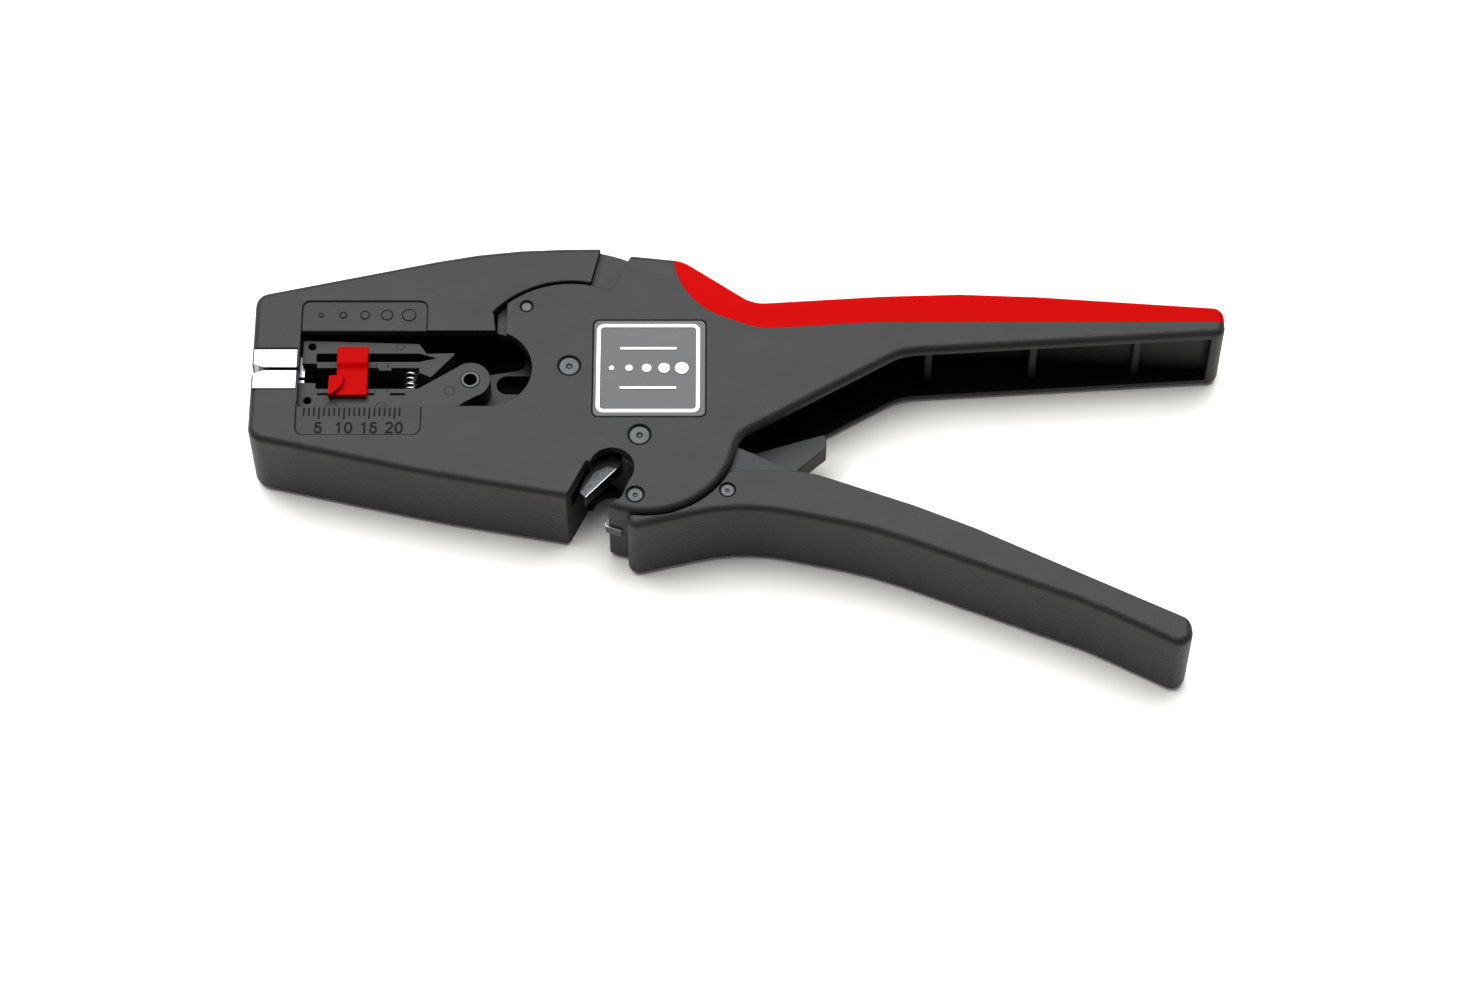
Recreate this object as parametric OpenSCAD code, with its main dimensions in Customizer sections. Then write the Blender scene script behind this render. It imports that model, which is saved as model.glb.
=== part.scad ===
// Automatic wire stripper with a wire cutter in its throat and a sliding length stop.
// Datum of every outline: the axis of the handle pivot, X along the tool towards the grips,
// Y up across the jaws, Z up from the back face. The finished tool is moved so that the
// middle of its back lies at the origin.

/* [Body] */
// Thickness over both walls
thick = 20; // [18:0.5:24]
// Thickness of the moulded walls
wall = 2.2; // [1.8:0.1:2.6]
// From the handle pivot to the nose of the jaws
head_len = 77.6; // [72:0.2:90]
// From the handle pivot to the end of the upper grip
handle_len = 117.2; // [105:0.2:140]
// Height of the line where the jaws meet
mouth_y = 15.3; // [14.8:0.1:15.8]
// Gap between the closed jaws
mouth_gap = 0.6; // [0.4:0.1:0.8]
// Corner radius of the nose, seen from the front
nose_r = 3.4; // [2:0.2:5]
// Rounding of the outer edges of the body and the jaw
edge_r = 1.5; // [0.8:0.1:1.8]

/* [Jaws] */
// Jaw pivot ahead of the handle pivot
jaw_dx = 14.2; // [13.6:0.1:14.8]
// Jaw pivot above the handle pivot
jaw_dy = 16; // [15.6:0.1:16.4]
// Radius of the round shoulder that the upper jaw turns on
shoulder_r = 19.5; // [19:0.1:20]
// Gap between the shoulder and the jaw's shell
shoulder_gap = 0.5; // [0.3:0.1:0.8]
// Outer radius of the jaw's tail segment
tail_r = 28.2; // [27:0.1:28.4]
// How far the segment lies below the faces
tail_sink = 1.5; // [1.2:0.1:1.8]
// Opening angle of the upper jaw
jaw_open = 9; // [6:0.5:9]
// Length of the steel grippers
gripper_len = 8.7; // [8:0.1:9.2]
// Height of one gripper
gripper_h = 4.3; // [3.5:0.1:5]
// Plastic skin in front of the grippers
nose_skin = 0.4; // [0.3:0.1:0.8]

/* [Window] */
// Radius of the window's round end
window_r = 8.8; // [8.2:0.1:9.2]
// Centre of the round end ahead of the handle pivot
window_dx = 30.4; // [29.6:0.1:31]
// From the nose to the window's straight end
window_inset = 9.5; // [9.2:0.1:10]
// Depth of the scale and label recesses
recess = 0.3; // [0.2:0.05:0.5]

/* [Blade carriage] */
// Pull of the blade carriage
travel = 11.5; // [8:0.5:11.5]
// Blade arm pin ahead of the jaw pivot
ring_dx = 19.8; // [19.4:0.1:20.2]
// Blade arm pin below the mouth line
ring_drop = 1.1; // [0.8:0.1:1.4]
// Eye radius of the blade arms
eye_r = 4; // [3.6:0.1:4]
// Thickness of the drawbar
drawbar_t = 4.2; // [3.4:0.1:4.4]
// Thickness of the stripping blades
blade_t = 1; // [0.8:0.1:1.2]
// Gap between the stripping blades
blade_gap = 0.7; // [0.5:0.1:0.9]
// Width of the length stop
stop_w = 6.2; // [5:0.1:7]
// Sheet thickness of the length stop
stop_t = 1.1; // [0.9:0.1:1.3]

/* [Drive] */
// Closing angle of the lower handle
squeeze = 22; // [16:1:22]
// Drive pin from the handle pivot
drive_r = 14.6; // [14.2:0.1:14.8]
// Thickness of the rocker
rocker_t = 2.9; // [2.5:0.1:3.1]

/* [Cutter] */
// Radius of the cutting notch
notch_r = 4.5; // [4.2:0.1:4.6]
// Thickness of the fixed blade
fixed_t = 2.6; // [2.2:0.1:2.8]
// Thickness of the moving blade
moving_t = 3.6; // [3:0.1:3.8]
// Shear gap between the two blades
shear_gap = 0.1; // [0.05:0.01:0.15]

/* [Handles] */
// Radius of the round body end above the lower handle
heel_r = 18.2; // [17.8:0.1:18.6]
// Gap between the body end and the lower handle
heel_gap = 0.4; // [0.3:0.05:0.6]
// Rounding of the outer edges of the lower handle
cover_r = 1.5; // [1.2:0.1:1.5]
// Thickness of the red inlay over the edge of the grip
inlay_t = 1.6; // [1.2:0.1:2]
// Thickness of the red inlay on the two faces
inlay_skin = 1.2; // [0.8:0.1:1.4]
// Thickness of the cross ribs in the grips
rib_t = 1.6; // [1.2:0.1:2.4]

/* [Label] */
// Width of the square label plate
label_w = 22.4; // [20:0.2:23]
// Thickness of the label plate
label_t = 0.7; // [0.5:0.1:0.9]
// Rim of the label plate
label_rim = 1.2; // [0.8:0.1:1.6]

/* [Pins and fits] */
// Radius of the two large pivot pins
pivot_r = 2; // [1.8:0.05:2.1]
// Radius of the cutter pin
cross_r = 1.5; // [1.3:0.05:1.6]
// Radius of the pin in the lower handle
lever_pin_r = 1.3; // [1.1:0.05:1.35]
// Radius of the drive pin and the yoke pin
roller_r = 1.4; // [1.2:0.05:1.5]
// Radius of the jaw stop pins
stud_r = 1; // [0.8:0.05:1.1]
// Outer radius of the hollow blade arm pin
ring_r = 1.85; // [1.7:0.05:1.9]
// Bore radius of the hollow blade arm pin
ring_bore_r = 1.3; // [1.1:0.05:1.4]
// Radial clearance of a pin that is held fast
press = 0.02; // [0.01:0.01:0.04]
// Radial clearance of a part that turns on a pin
run = 0.06; // [0.04:0.01:0.08]
// Clearance between sliding layers
gap = 0.3; // [0.2:0.05:0.35]
// Clearance of a pin in the slot that it drives
slot_play = 0.15; // [0.12:0.01:0.2]

/* [Hidden] */
arc_step = 6;
pin_sink = 0.3;
far = 200;
B = [0, 0];
A = [-jaw_dx, jaw_dy];
nose_x = -head_len;
ring = [A.x - ring_dx, mouth_y - ring_drop];
blade_x = nose_x + window_inset - 0.2;
window_x = nose_x + window_inset;
window_c = [-window_dx, mouth_y + 0.1];
window_top = window_c.y + window_r;
window_low = window_c.y - window_r;
channel_x = nose_x + window_inset - 0.5;
z_back = wall;
z_front = thick - wall;
layer_low = z_back + gap;
layer_top = z_front - gap;
cheek_t = wall;
rocker_z = layer_low + cheek_t + gap;
drawbar_z = rocker_z + rocker_t + gap;
drawbar_top = drawbar_z + drawbar_t;
eye_top_z = drawbar_top + gap;
shear_z = thick * 0.6;
heel_c = [1.2, 0.6];
label_c = [1.8, 15.4];
notch_c = [-5.4, -7.5];
studs_at = polar(A, shoulder_r - 2.96, 122.2);
cutter_pin_at = [-0.7, -13.6];
handle_pin_at = [17.4, -12.6];
pull_half = travel / 2;
reach = norm(A - B);
line_angle = atan2(A.y - B.y, A.x - B.x);
drive_at = polar(B, drive_r, line_angle - squeeze / 2);
rocker_half = atan2(drive_r * sin(squeeze / 2), reach - drive_r * cos(squeeze / 2));
yoke_r = pull_half / sin(rocker_half);
yoke_at = polar(A, yoke_r, 90 + rocker_half);
frame_shift = [(head_len - handle_len) / 2, 1.95];

// A point at distance r and angle a from c
function polar(c, r, a) = c + r * [cos(a), sin(a)];
// Point p turned by angle a about the handle pivot
function turned(p, a) = [p.x * cos(a) - p.y * sin(a), p.x * sin(a) + p.y * cos(a)];
function unit(v) = v / norm(v);
// Points of an arc, as sharp corners of a path
function arc(c, r, from, to) = let (n = max(2, ceil(abs(to - from) / arc_step)))
    [for (i = [0:n]) let (p = polar(c, r, from + (to - from) * i / n)) [p.x, p.y, 0]];
// Points of the round that replaces corner b between a and c
function corner(a, b, c, r) = let (
    u = unit(a - b),
    v = unit(c - b),
    half = acos(max(-1, min(1, u * v))) / 2,
    m = b + unit(u + v) * r / sin(half),
    p = b + u * r / tan(half) - m,
    q = b + v * r / tan(half) - m,
    start = atan2(p.y, p.x),
    turn = (atan2(q.y, q.x) - start + 540) % 360 - 180,
    n = max(1, ceil(abs(turn) / arc_step - 0.01))
) [for (i = [0:n]) polar(m, r, start + turn * i / n)];
// A closed outline from corners [x, y, radius]
function rounded(path) = let (n = len(path), flat = [for (p = path) [p.x, p.y]])
    [for (i = [0:n - 1]) each path[i][2] > 0
        ? corner(flat[(i + n - 1) % n], flat[i], flat[(i + 1) % n], path[i][2])
        : [flat[i]]];

// The point k times as far from p as q is, on the same side
function past(p, q, k) = let (v = [p.x, p.y] + ([q.x, q.y] - [p.x, p.y]) * k) [v.x, v.y, 0];
// An open line of corners [x, y, radius] moved d to its left
function moved(line, d) = let (n = len(line), flat = [for (p = line) [p.x, p.y]])
    [for (i = [0:n - 1]) let (
        u = unit(flat[min(i, n - 2) + 1] - flat[min(i, n - 2)]),
        v = unit(flat[max(i, 1)] - flat[max(i, 1) - 1]),
        left = [-u.y - v.y, u.x + v.x] / (1 + u * v),
        bend = v.x * u.y - v.y * u.x,
        q = flat[i] + d * left
    ) [q.x, q.y, line[i][2] > 0 ? max(0.15, line[i][2] - d * sign(bend)) : 0]];
// The same line with its corners rounded
function soft(line) = [for (i = [0:len(line) - 1]) each line[i][2] > 0
    ? corner([line[i - 1].x, line[i - 1].y], [line[i].x, line[i].y], [line[i + 1].x, line[i + 1].y], line[i][2])
    : [[line[i].x, line[i].y]]];

// What rounds an edge of radius r off a body that lies left of an open line. The edge is at
// height z, and the body lies below it for side 1, above it for side -1.
module edge_cut(line, r, z, side) {
    profile = [[-0.4, 0.12], [-0.4, -r - 1.5], [r * (1 - cos(30)), -r / 2],
        [r / 2, -r * (1 - cos(30))], [r + 0.45, 0.12]];
    sides = len(profile);
    rows = [for (q = profile) soft(moved(line, q.x))];
    n = len(rows[0]);
    points = [for (i = [0:n - 1], k = [0:sides - 1]) [rows[k][i].x, rows[k][i].y, z + side * profile[k].y]];
    walls = [for (i = [0:n - 2], k = [0:sides - 1]) let (
        a = i * sides + k, b = i * sides + (k + 1) % sides)
        side > 0 ? [a, a + sides, b + sides, b] : [b, b + sides, a + sides, a]];
    first = [for (k = [0:sides - 1]) side > 0 || k == 0 ? k : sides - k];
    last = [for (k = [0:sides - 1]) (n - 1) * sides + (side < 0 || k == 0 ? k : sides - k)];
    polyhedron(points, concat(walls, [first], [last]));
}

module edge_cuts(line, r) {
    edge_cut(line, r, thick, 1);
    edge_cut(line, r, 0, -1);
}

// A wire of radius w wound as a coil of radius r, centred on Z from 0 to h
module coil(r, w, h, turns, sides = 6, steps = 12) {
    n = turns * steps;
    points = [for (i = [0:n]) let (a = 360 * i / steps, z = w + (h - 2 * w) * i / n)
        for (k = [0:sides - 1]) let (t = 360 * k / sides, q = r + w * cos(t))
            [q * cos(a), q * sin(a), z + w * sin(t)]];
    walls = [for (i = [0:n - 1], k = [0:sides - 1]) let (
        a = i * sides + k, b = i * sides + (k + 1) % sides, c = b + sides, d = a + sides)
        each [[a, b, c], [a, c, d]]];
    first = [[for (k = [sides - 1:-1:0]) k]];
    last = [[for (k = [0:sides - 1]) n * sides + k]];
    polyhedron(points, concat(walls, first, last));
}

// A coil with its axis from p to q, both with X, Y and Z
module coil_between(p, q, r, w, turns) {
    d = q - p;
    translate(p)
        rotate([0, acos(d.z / norm(d)), atan2(d.y, d.x)])
            coil(r, w, norm(d), turns);
}

// A prism of the outline between two heights
module slab(path, z0, z1) {
    translate([0, 0, z0])
        linear_extrude(z1 - z0)
            polygon(rounded(path));
}

// A round rod at p between two heights
module rod(p, r, z0, z1) {
    translate([p.x, p.y, z0])
        cylinder(r = r, h = z1 - z0, $fn = 72);
}

// A pin with a dimple in each end
module dimpled_pin(p, r, z0, z1) {
    difference() {
        rod(p, r, z0, z1);
        for (z = [z0 - r * 0.25, z1 + r * 0.25])
            translate([p.x, p.y, z])
                sphere(r = r * 0.42, $fn = 32);
    }
}

// The place of a pin end in a face: bore and the dark ring round its head
module pin_seat(p, r, clearance) {
    rod(p, r + clearance, -1, thick + 1);
    for (z = [-1, thick - 0.5])
        rod(p, r + 0.35, z, z + 1.5);
}

module shift() {
    translate([frame_shift.x, frame_shift.y, 0])
        children();
}

// Outlines

lower_edge = [[19.7, 0, 5], [52.4, 19.4, 12], [handle_len, 23.6, 2]];
top_edge = [[handle_len, 30, 2.5], [64, 34, 220], [22.6, 31.2, 7], [8.3, 41.4, 7]];
body_corner = [-2, 42.6, 0.4];
body_edge = concat(
    [[nose_x, -0.5, nose_r], [-40, -9.3, 130], [-7.5, -15.4, 2]],
    arc(heel_c, heel_r, -112, -13),
    lower_edge,
    top_edge
);
shoulder_foot = polar(A, shoulder_r, 65);
shoulder_end = 180 + asin((jaw_dy - mouth_y + mouth_gap / 2) / shoulder_r);
housing_path = concat(
    body_edge,
    [body_corner],
    arc(A, shoulder_r, 65, shoulder_end),
    [[nose_x, mouth_y - mouth_gap / 2, 0]]
);

housing_edge = concat([[nose_x, mouth_y + 3, 0]], body_edge, [past(top_edge[3], body_corner, 1.4)]);

// The room inside the housing between its two walls
room_path = [
    [channel_x, 4.6, 0.5], [-20, 4.6, 3], [-12.2, -2.2, 3], [-9.5, -5.2, 0],
    [-1.8, -8.6, 0], [1.3, -10.2, 0.8], [2, -22, 0], [30, -22, 0], [30, -5, 0], [54, 8, 0],
    [handle_len - 2.7, 12, 0], [handle_len - 2.7, 26.3, 1.5], [60, 29.4, 250],
    [23.6, 27.7, 8], [6.4, 36, 4], [-3, 37, 0], [channel_x, 37, 0]
];

throat_path = [
    [-10.4, -5.9, 0], [-14.7, -14.9, 0], [-16, -22, 0], [-6.1, -22, 0],
    [-6.1, -15.9, 1.2], [-3.4, -14.4, 2], [-1, -7.9, 0], notch_top(0), notch_top(1)
];
function notch_top(i) = [notch_c.x + (1 - 2 * i) * 2, notch_c.y, 0];

jaw_rear = 78.6;
jaw_top = [[nose_x, 33, 3], [-29, 44.1, 120]];
jaw_corner = [-8.3, 44.3, 0.4];
// The body lies left of this line, so it runs from the rear to the nose
jaw_edge = [past(jaw_top[1], jaw_corner, 1.3), jaw_top[1], jaw_top[0], [nose_x, mouth_y - 3, 0]];
jaw_path = concat(
    [[nose_x, mouth_y + mouth_gap / 2, 0]],
    jaw_top,
    [jaw_corner],
    arc(A, shoulder_r - 1, jaw_rear, shoulder_end - 0.9)
);
jaw_room_path = [
    [channel_x, mouth_y - 4, 0], [channel_x, 32.5, 1.5], [-29, 41.6, 118], [-11.6, 41.8, 1],
    [A.x + 3.6, 35, 0], [A.x, A.y, 0], [-30, mouth_y - 4, 0]
];

// The front wall is open over the blade carriage
window_path = [
    [window_x, window_low, 0.3], [window_c.x, window_low, 0], [window_c.x, window_top, 0],
    [window_x, window_top, 0.3]
];

mouth_funnel = [
    [nose_x - 1, mouth_y + 1.6, 0], [nose_x - 1, mouth_y - 1.6, 0], [nose_x + 3.2, mouth_y, 0]
];

red_region = [
    [handle_len + 1, 26.3, 0], [handle_len + 1, 46, 0], [6.2, 46, 0], [6.2, 42, 0],
    [8.4, 30.6, 16], [24, 24.6, 12], [46, 26.2, 60]
];

module window_cut(z0, z1) {
    slab(window_path, z0, z1);
    rod(window_c, window_r, z0, z1);
}

module ring_segment(r0, r1, from, to, z0, z1) {
    translate([A.x, A.y, z0])
        rotate([0, 0, from])
            rotate_extrude(angle = to - from, $fn = 96)
                translate([r0, 0])
                    square([r1 - r0, z1 - z0]);
}

// Housing

module grip_inlay_body() {
    difference() {
        linear_extrude(thick)
            intersection() {
                polygon(rounded(housing_path));
                polygon(rounded(red_region));
            }
        translate([-inlay_t, -inlay_t, inlay_skin])
            linear_extrude(thick - 2 * inlay_skin)
                polygon(rounded(housing_path));
    }
}

module label_square(grow, z0, z1) {
    w = label_w / 2 + grow;
    slab([[label_c.x - w, label_c.y - w, 1.2], [label_c.x + w, label_c.y - w, 1.2],
        [label_c.x + w, label_c.y + w, 1.2], [label_c.x - w, label_c.y + w, 1.2]], z0, z1);
}

module gripper(side) {
    y0 = mouth_y + side * mouth_gap / 2;
    difference() {
        translate([nose_x + nose_skin, side > 0 ? y0 : y0 - gripper_h, 0.2])
            cube([gripper_len, gripper_h, thick - 0.3]);
        slab(mouth_funnel, -1, thick + 1);
    }
}

module handle_rib(x, low, z0, z1) {
    translate([x - rib_t / 2, low, z0])
        cube([rib_t, 31 - low, z1 - z0]);
}

module main_housing() {
    color("#3a3b3c")
    shift()
        difference() {
            union() {
                difference() {
                    slab(housing_path, 0, thick);
                    slab(room_path, z_back, z_front);
                    slab(mouth_room, z_back, thick + 1);
                }
                intersection() {
                    slab(housing_path, z_back / 2, thick - z_back / 2);
                    union() {
                        handle_rib(58, 23.6, z_back / 2, thick - z_back / 2);
                        handle_rib(79.2, 24.4, z_back / 2, thick - z_back / 2);
                        handle_rib(100.2, 25.4, z_back / 2, thick - z_back / 2);
                        translate([9, 13, z_back / 2])
                            cube([1.8, 24, thick - z_back]);
                    }
                }
            }
            grip_inlay_body();
            edge_cuts(housing_edge, edge_r);
            window_cut(z_front - 1, thick + 1);
            ring_segment(shoulder_r - 0.5, tail_r + 0.5, 41, 70, tail_sink - gap, thick - tail_sink + gap);
            rod(notch_c, notch_r, -1, thick + 1);
            slab(throat_path, -1, thick + 1);
            slab(blade_sweep, shear_z, shear_z + shear_gap + moving_t + gap);
            slab(fixed_slot, shear_z - fixed_t, shear_z);
            slab(scale_path, thick - recess, thick + 1);
            slab(mouth_funnel, -1, thick + 1);
            translate([nose_x + nose_skin, mouth_y - mouth_gap / 2 - gripper_h, 0.2])
                cube([gripper_len, gripper_h + 2, thick]);
            label_square(0.15, thick - label_t, thick + 1);
            pin_seat(A, pivot_r, press);
            pin_seat(B, pivot_r, press);
            pin_seat(studs_at, stud_r, press);
            pin_seat(cutter_pin_at, cross_r, press);
        }
}
// The front wall ends at the body's front edge, ahead of it lies only the jaw
mouth_room = [
    [window_x, mouth_y, 0], [window_c.x, window_low + 3, 0], [-26.9, window_c.y, 0],
    [-26.9, 40, 0], [-60, 40, 0], [window_x, 20, 0]
];
scale_path = [
    [window_x - 0.2, -0.1, 1.6], [-43.3, -0.1, 1.6], [-43.3, window_low + 1, 0],
    [window_x - 0.2, window_low + 1, 0]
];
blade_sweep = [
    [-13.4, -12.6, 0], [-8, -13.5, 0], [-6, -2, 0], [-9, 5, 0], [-14, 4.6, 0], [-13.8, -4, 0]
];
fixed_edge = [[-6.75, -15.6], [-2.7, -8]];
fixed_path = [
    [fixed_edge[0].x, fixed_edge[0].y, 0], [-6.6, -16.25, 0], [-3.5, -17.4, 0], [-3.4, -16.7, 0],
    [-1.6, -16.6, 0.5],
    [0.7, -14.5, 1], [0.7, -11, 1], [-2.4, -7.2, 0.5], [fixed_edge[1].x, fixed_edge[1].y, 0]
];
fixed_slot = [
    [-9, -18.6, 0], [-3.4, -18.6, 0], [-3.4, -16.7, 0], [-1.6, -16.6, 0.5], [0.7, -14.5, 1],
    [0.7, -11, 1], [-2.4, -7.2, 0.5], [-6, -6.5, 0]
];

module grip_inlay() {
    color("#d8160e")
    shift()
        difference() {
            grip_inlay_body();
            edge_cuts(housing_edge, edge_r);
        }
}

module label_plate() {
    color("#6f7072")
    shift()
        difference() {
            label_square(0, thick - label_t, thick);
            label_square(-label_rim, thick - 0.15, thick + 1);
        }
}

module lower_gripper() {
    color("#e8e9ea")
    shift()
        gripper(-1);
}

module fixed_cutter_blade() {
    color("#8f9296")
    shift()
        difference() {
            slab(fixed_path, shear_z - fixed_t, shear_z);
            rod(cutter_pin_at, cross_r + press, 0, thick);
        }
}

module jaw_pivot_pin() {
    color("#77797c")
    shift()
        dimpled_pin(A, pivot_r, pin_sink, thick - pin_sink);
}

module handle_pivot_pin() {
    color("#77797c")
    shift()
        dimpled_pin(B, pivot_r, pin_sink, thick - pin_sink);
}

module cutter_pin() {
    color("#77797c")
    shift()
        dimpled_pin(cutter_pin_at, cross_r, pin_sink, thick - pin_sink);
}

module jaw_stop_pins() {
    color("#77797c")
    shift() {
        rod(studs_at, stud_r, pin_sink, layer_low + cheek_t);
        rod(studs_at, stud_r, layer_top - cheek_t, thick - pin_sink);
    }
}

// Upper jaw

cheek_path = [
    [-29.1, window_top + 0.3, 0], [-22, window_top - 1, 2], [A.x - 3.6, A.y - 1, 0],
    [A.x + 3.6, A.y - 1, 0], [A.x + 9, A.y + 14, 0], [A.x + 12.5, A.y + 24, 0],
    [A.x, A.y + 26, 0], [-29.1, A.y + 24, 0]
];

module jaw_cheek(z0) {
    difference() {
        intersection() {
            union() {
                slab(cheek_path, z0, z0 + cheek_t);
                rod(A, 3.6, z0, z0 + cheek_t);
            }
            rod(A, shoulder_r + 3, z0, z0 + cheek_t);
        }
        rod(window_c, window_r + 0.8, z0 - 1, z0 + cheek_t + 1);
        rod(A, pivot_r + run, z0 - 1, z0 + cheek_t + 1);
        translate([A.x, A.y, z0 - 1])
            rotate([0, 0, stud_angle - 1.6])
                rotate_extrude(angle = jaw_open + 3.2, $fn = 96)
                    translate([stud_reach - stud_r - gap, 0])
                        square([2 * (stud_r + gap), cheek_t + 2]);
        for (a = [stud_angle - 1.6, stud_angle + jaw_open + 1.6])
            rod(polar(A, stud_reach, a), stud_r + gap, z0 - 1, z0 + cheek_t + 1);
    }
}
stud_reach = norm(studs_at - A);
stud_angle = atan2(studs_at.y - A.y, studs_at.x - A.x);

module upper_jaw() {
    color("#3a3b3c")
    shift()
        difference() {
            union() {
                difference() {
                    union() {
                        difference() {
                            slab(jaw_path, 0, thick);
                            edge_cuts(jaw_edge, edge_r);
                            slab(jaw_room_path, z_back, z_front);
                            slab(jaw_front_cut, z_front - 1, thick + 1);
                        }
                        ring_segment(shoulder_r, tail_r, 60, jaw_rear + 1.4, tail_sink, thick - tail_sink);
                    }
                    rod(A, shoulder_r + shoulder_gap, -1, thick + 1);
                    ring_segment(shoulder_r - 1, shoulder_r + 2.1, 50, 90, tail_sink + 2.9,
                        thick - tail_sink - 2.9);
                }
                slab(jaw_flap, z_front, thick);
                jaw_cheek(layer_low);
                jaw_cheek(layer_top - cheek_t);
            }
            slab(tab_path, thick - recess, thick + 1);
            slab(mouth_funnel, -1, thick + 1);
            translate([nose_x + nose_skin, mouth_y - 2, 0.2])
                cube([gripper_len, gripper_h + 2 + mouth_gap / 2, thick]);
        }
}
jaw_front_cut = [
    [window_x, mouth_y - 2, 0], [-20, mouth_y - 2, 0], [-20, 29.2, 0], [-28.9, 29.2, 0],
    [-28.4, window_top, 0], [window_x, window_top, 0.3]
];
// The front wall runs on past the shoulder as far as the body's front edge
jaw_flap = [
    [-34, window_top, 0], [-29, window_top, 0], [-29.5, 28.3, 0], [-31, 29.5, 0], [-34, 29.5, 0]
];
tab_path = [
    [window_x, window_top - 1, 0], [-42.8, window_top - 1, 0], [-42.8, window_top + 7.1, 1.6],
    [window_x, window_top + 7.1, 1.6]
];

module upper_gripper() {
    color("#e8e9ea")
    shift()
        gripper(1);
}

module jaw_spring() {
    color("#a9abad")
    shift()
        coil_between(concat(polar(A, tail_r - 3.8, 58.6), thick / 2),
            concat(polar(A, tail_r - 3.8, 42.6), thick / 2), 1.9, 0.3, 4);
}

// Blade carriage

module drawbar() {
    half_h = pivot_r + 1.7;
    end_x = A.x + pivot_r + 2.7;
    ear = roller_r + slot_play + 1.9;
    color("#4a4b4d")
    shift()
        difference() {
            union() {
                rod(ring, eye_r - 0.3, drawbar_z, drawbar_top);
                slab([[ring.x, ring.y - eye_r + 0.4, 0], [A.x - 4, A.y - half_h, 0],
                    [end_x, A.y - half_h + 0.6, 1], [end_x, A.y + half_h, 1],
                    [yoke_at.x + ear, A.y + half_h, 1], [yoke_at.x + ear, A.y + yoke_r + ear - 0.4, 1.5],
                    [yoke_at.x - ear, A.y + yoke_r + ear - 1.2, 1.5], [yoke_at.x - ear, A.y + half_h, 2],
                    [ring.x, ring.y + eye_r - 0.4, 0]], drawbar_z, drawbar_top);
            }
            rod(ring, ring_r + press, 0, thick);
            slab([[A.x, A.y - pivot_r - run, 0], [A.x, A.y + pivot_r + run, 0],
                [guide_x, A.y + pivot_r + run, 0], [guide_x, A.y - pivot_r - run, 0]], 0, thick);
            rod([guide_x, A.y], pivot_r + run, 0, thick);
            rod(A, pivot_r + run, 0, thick);
            slab([[yoke_at.x - roller_r - slot_play, yoke_at.y - 0.5, 0],
                [yoke_at.x + roller_r + slot_play, yoke_at.y - 0.5, 0],
                [yoke_at.x + roller_r + slot_play, A.y + yoke_r + 0.2, 0],
                [yoke_at.x - roller_r - slot_play, A.y + yoke_r + 0.2, 0]], 0, thick);
            for (y = [yoke_at.y - 0.5, A.y + yoke_r + 0.2])
                rod([yoke_at.x, y], roller_r + slot_play, 0, thick);
        }
}
guide_x = A.x - travel - 1.2;

module blade_arm_pin() {
    color("#b4b6b8")
    shift()
        difference() {
            rod(ring, ring_r, layer_low, layer_top + 0.1);
            rod(ring, ring_bore_r, 0, thick);
        }
}

arm_x = blade_x + blade_t;
upper_lip_x = blade_x + 0.55;
lower_lip_x = blade_x + 0.15;
step_x = arm_x + 2.5;
rail_end = ring.x - 12.6;
upper_rail = mouth_y + 1.6;
lower_rail = mouth_y - 3.2;
slot_low = upper_rail + 1.5;
slot_top = slot_low + 1.9;
arm_spring_x = ring.x - 11.9;

// The pocket behind an arm's front lip that the stripping blade stands in
module blade_pocket() {
    translate([blade_x - 1, 0, 0])
        cube([blade_t + 1, 30, layer_top - 1.2]);
}

module upper_blade_arm() {
    color("#4a4b4d")
    shift()
        difference() {
            union() {
                slab([[upper_lip_x, upper_rail + 1, 0], [step_x, upper_rail + 1, 0], [step_x, upper_rail, 0],
                    [rail_end, upper_rail, 0], [ring.x - 7.9, ring.y + 0.5, 0.3],
                    [ring.x - 2.9, ring.y + 6.3, 0.3], [ring.x - 8.9, ring.y + 6.1, 0.5],
                    [ring.x - 10.4, ring.y + 8.4, 0.5], [upper_lip_x, mouth_y + 8.1, 0.5]],
                    layer_low, layer_top);
                translate([ring.x - 18.4, upper_rail - 0.6, layer_top - 3])
                    cube([2.6, 1, 3]);
            }
            slab([[step_x - 0.1, slot_low, 0], [rail_end + 2.2, slot_low, 0],
                [ring.x - 7, slot_low + 0.8, 0], [rail_end + 2.2, slot_top, 0],
                [step_x - 0.1, slot_top, 0]], layer_top - 6, thick);
            slab([[rail_end - 2, ring.y - 8, 0], [ring.x + 8, ring.y - 8, 0], [ring.x + 8, ring.y + 5.2, 0],
                [ring.x - 3.4, ring.y + 5.2, 0], [ring.x - 7.9, ring.y + 0.3, 0], [rail_end, upper_rail - 0.2, 0]],
                drawbar_z - gap, thick);
            rod(ring, eye_r + 1.8, drawbar_z - gap, thick);
            blade_pocket();
            rod([arm_x + 1.4, mouth_y + 6.6], 0.8, layer_top - 4, thick);
            translate([arm_spring_x - 1.6, upper_rail - 4, layer_top - 3.4])
                cube([3.2, 4, 4]);
            rod(ring, ring_r + run, 0, thick);
        }
}

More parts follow.
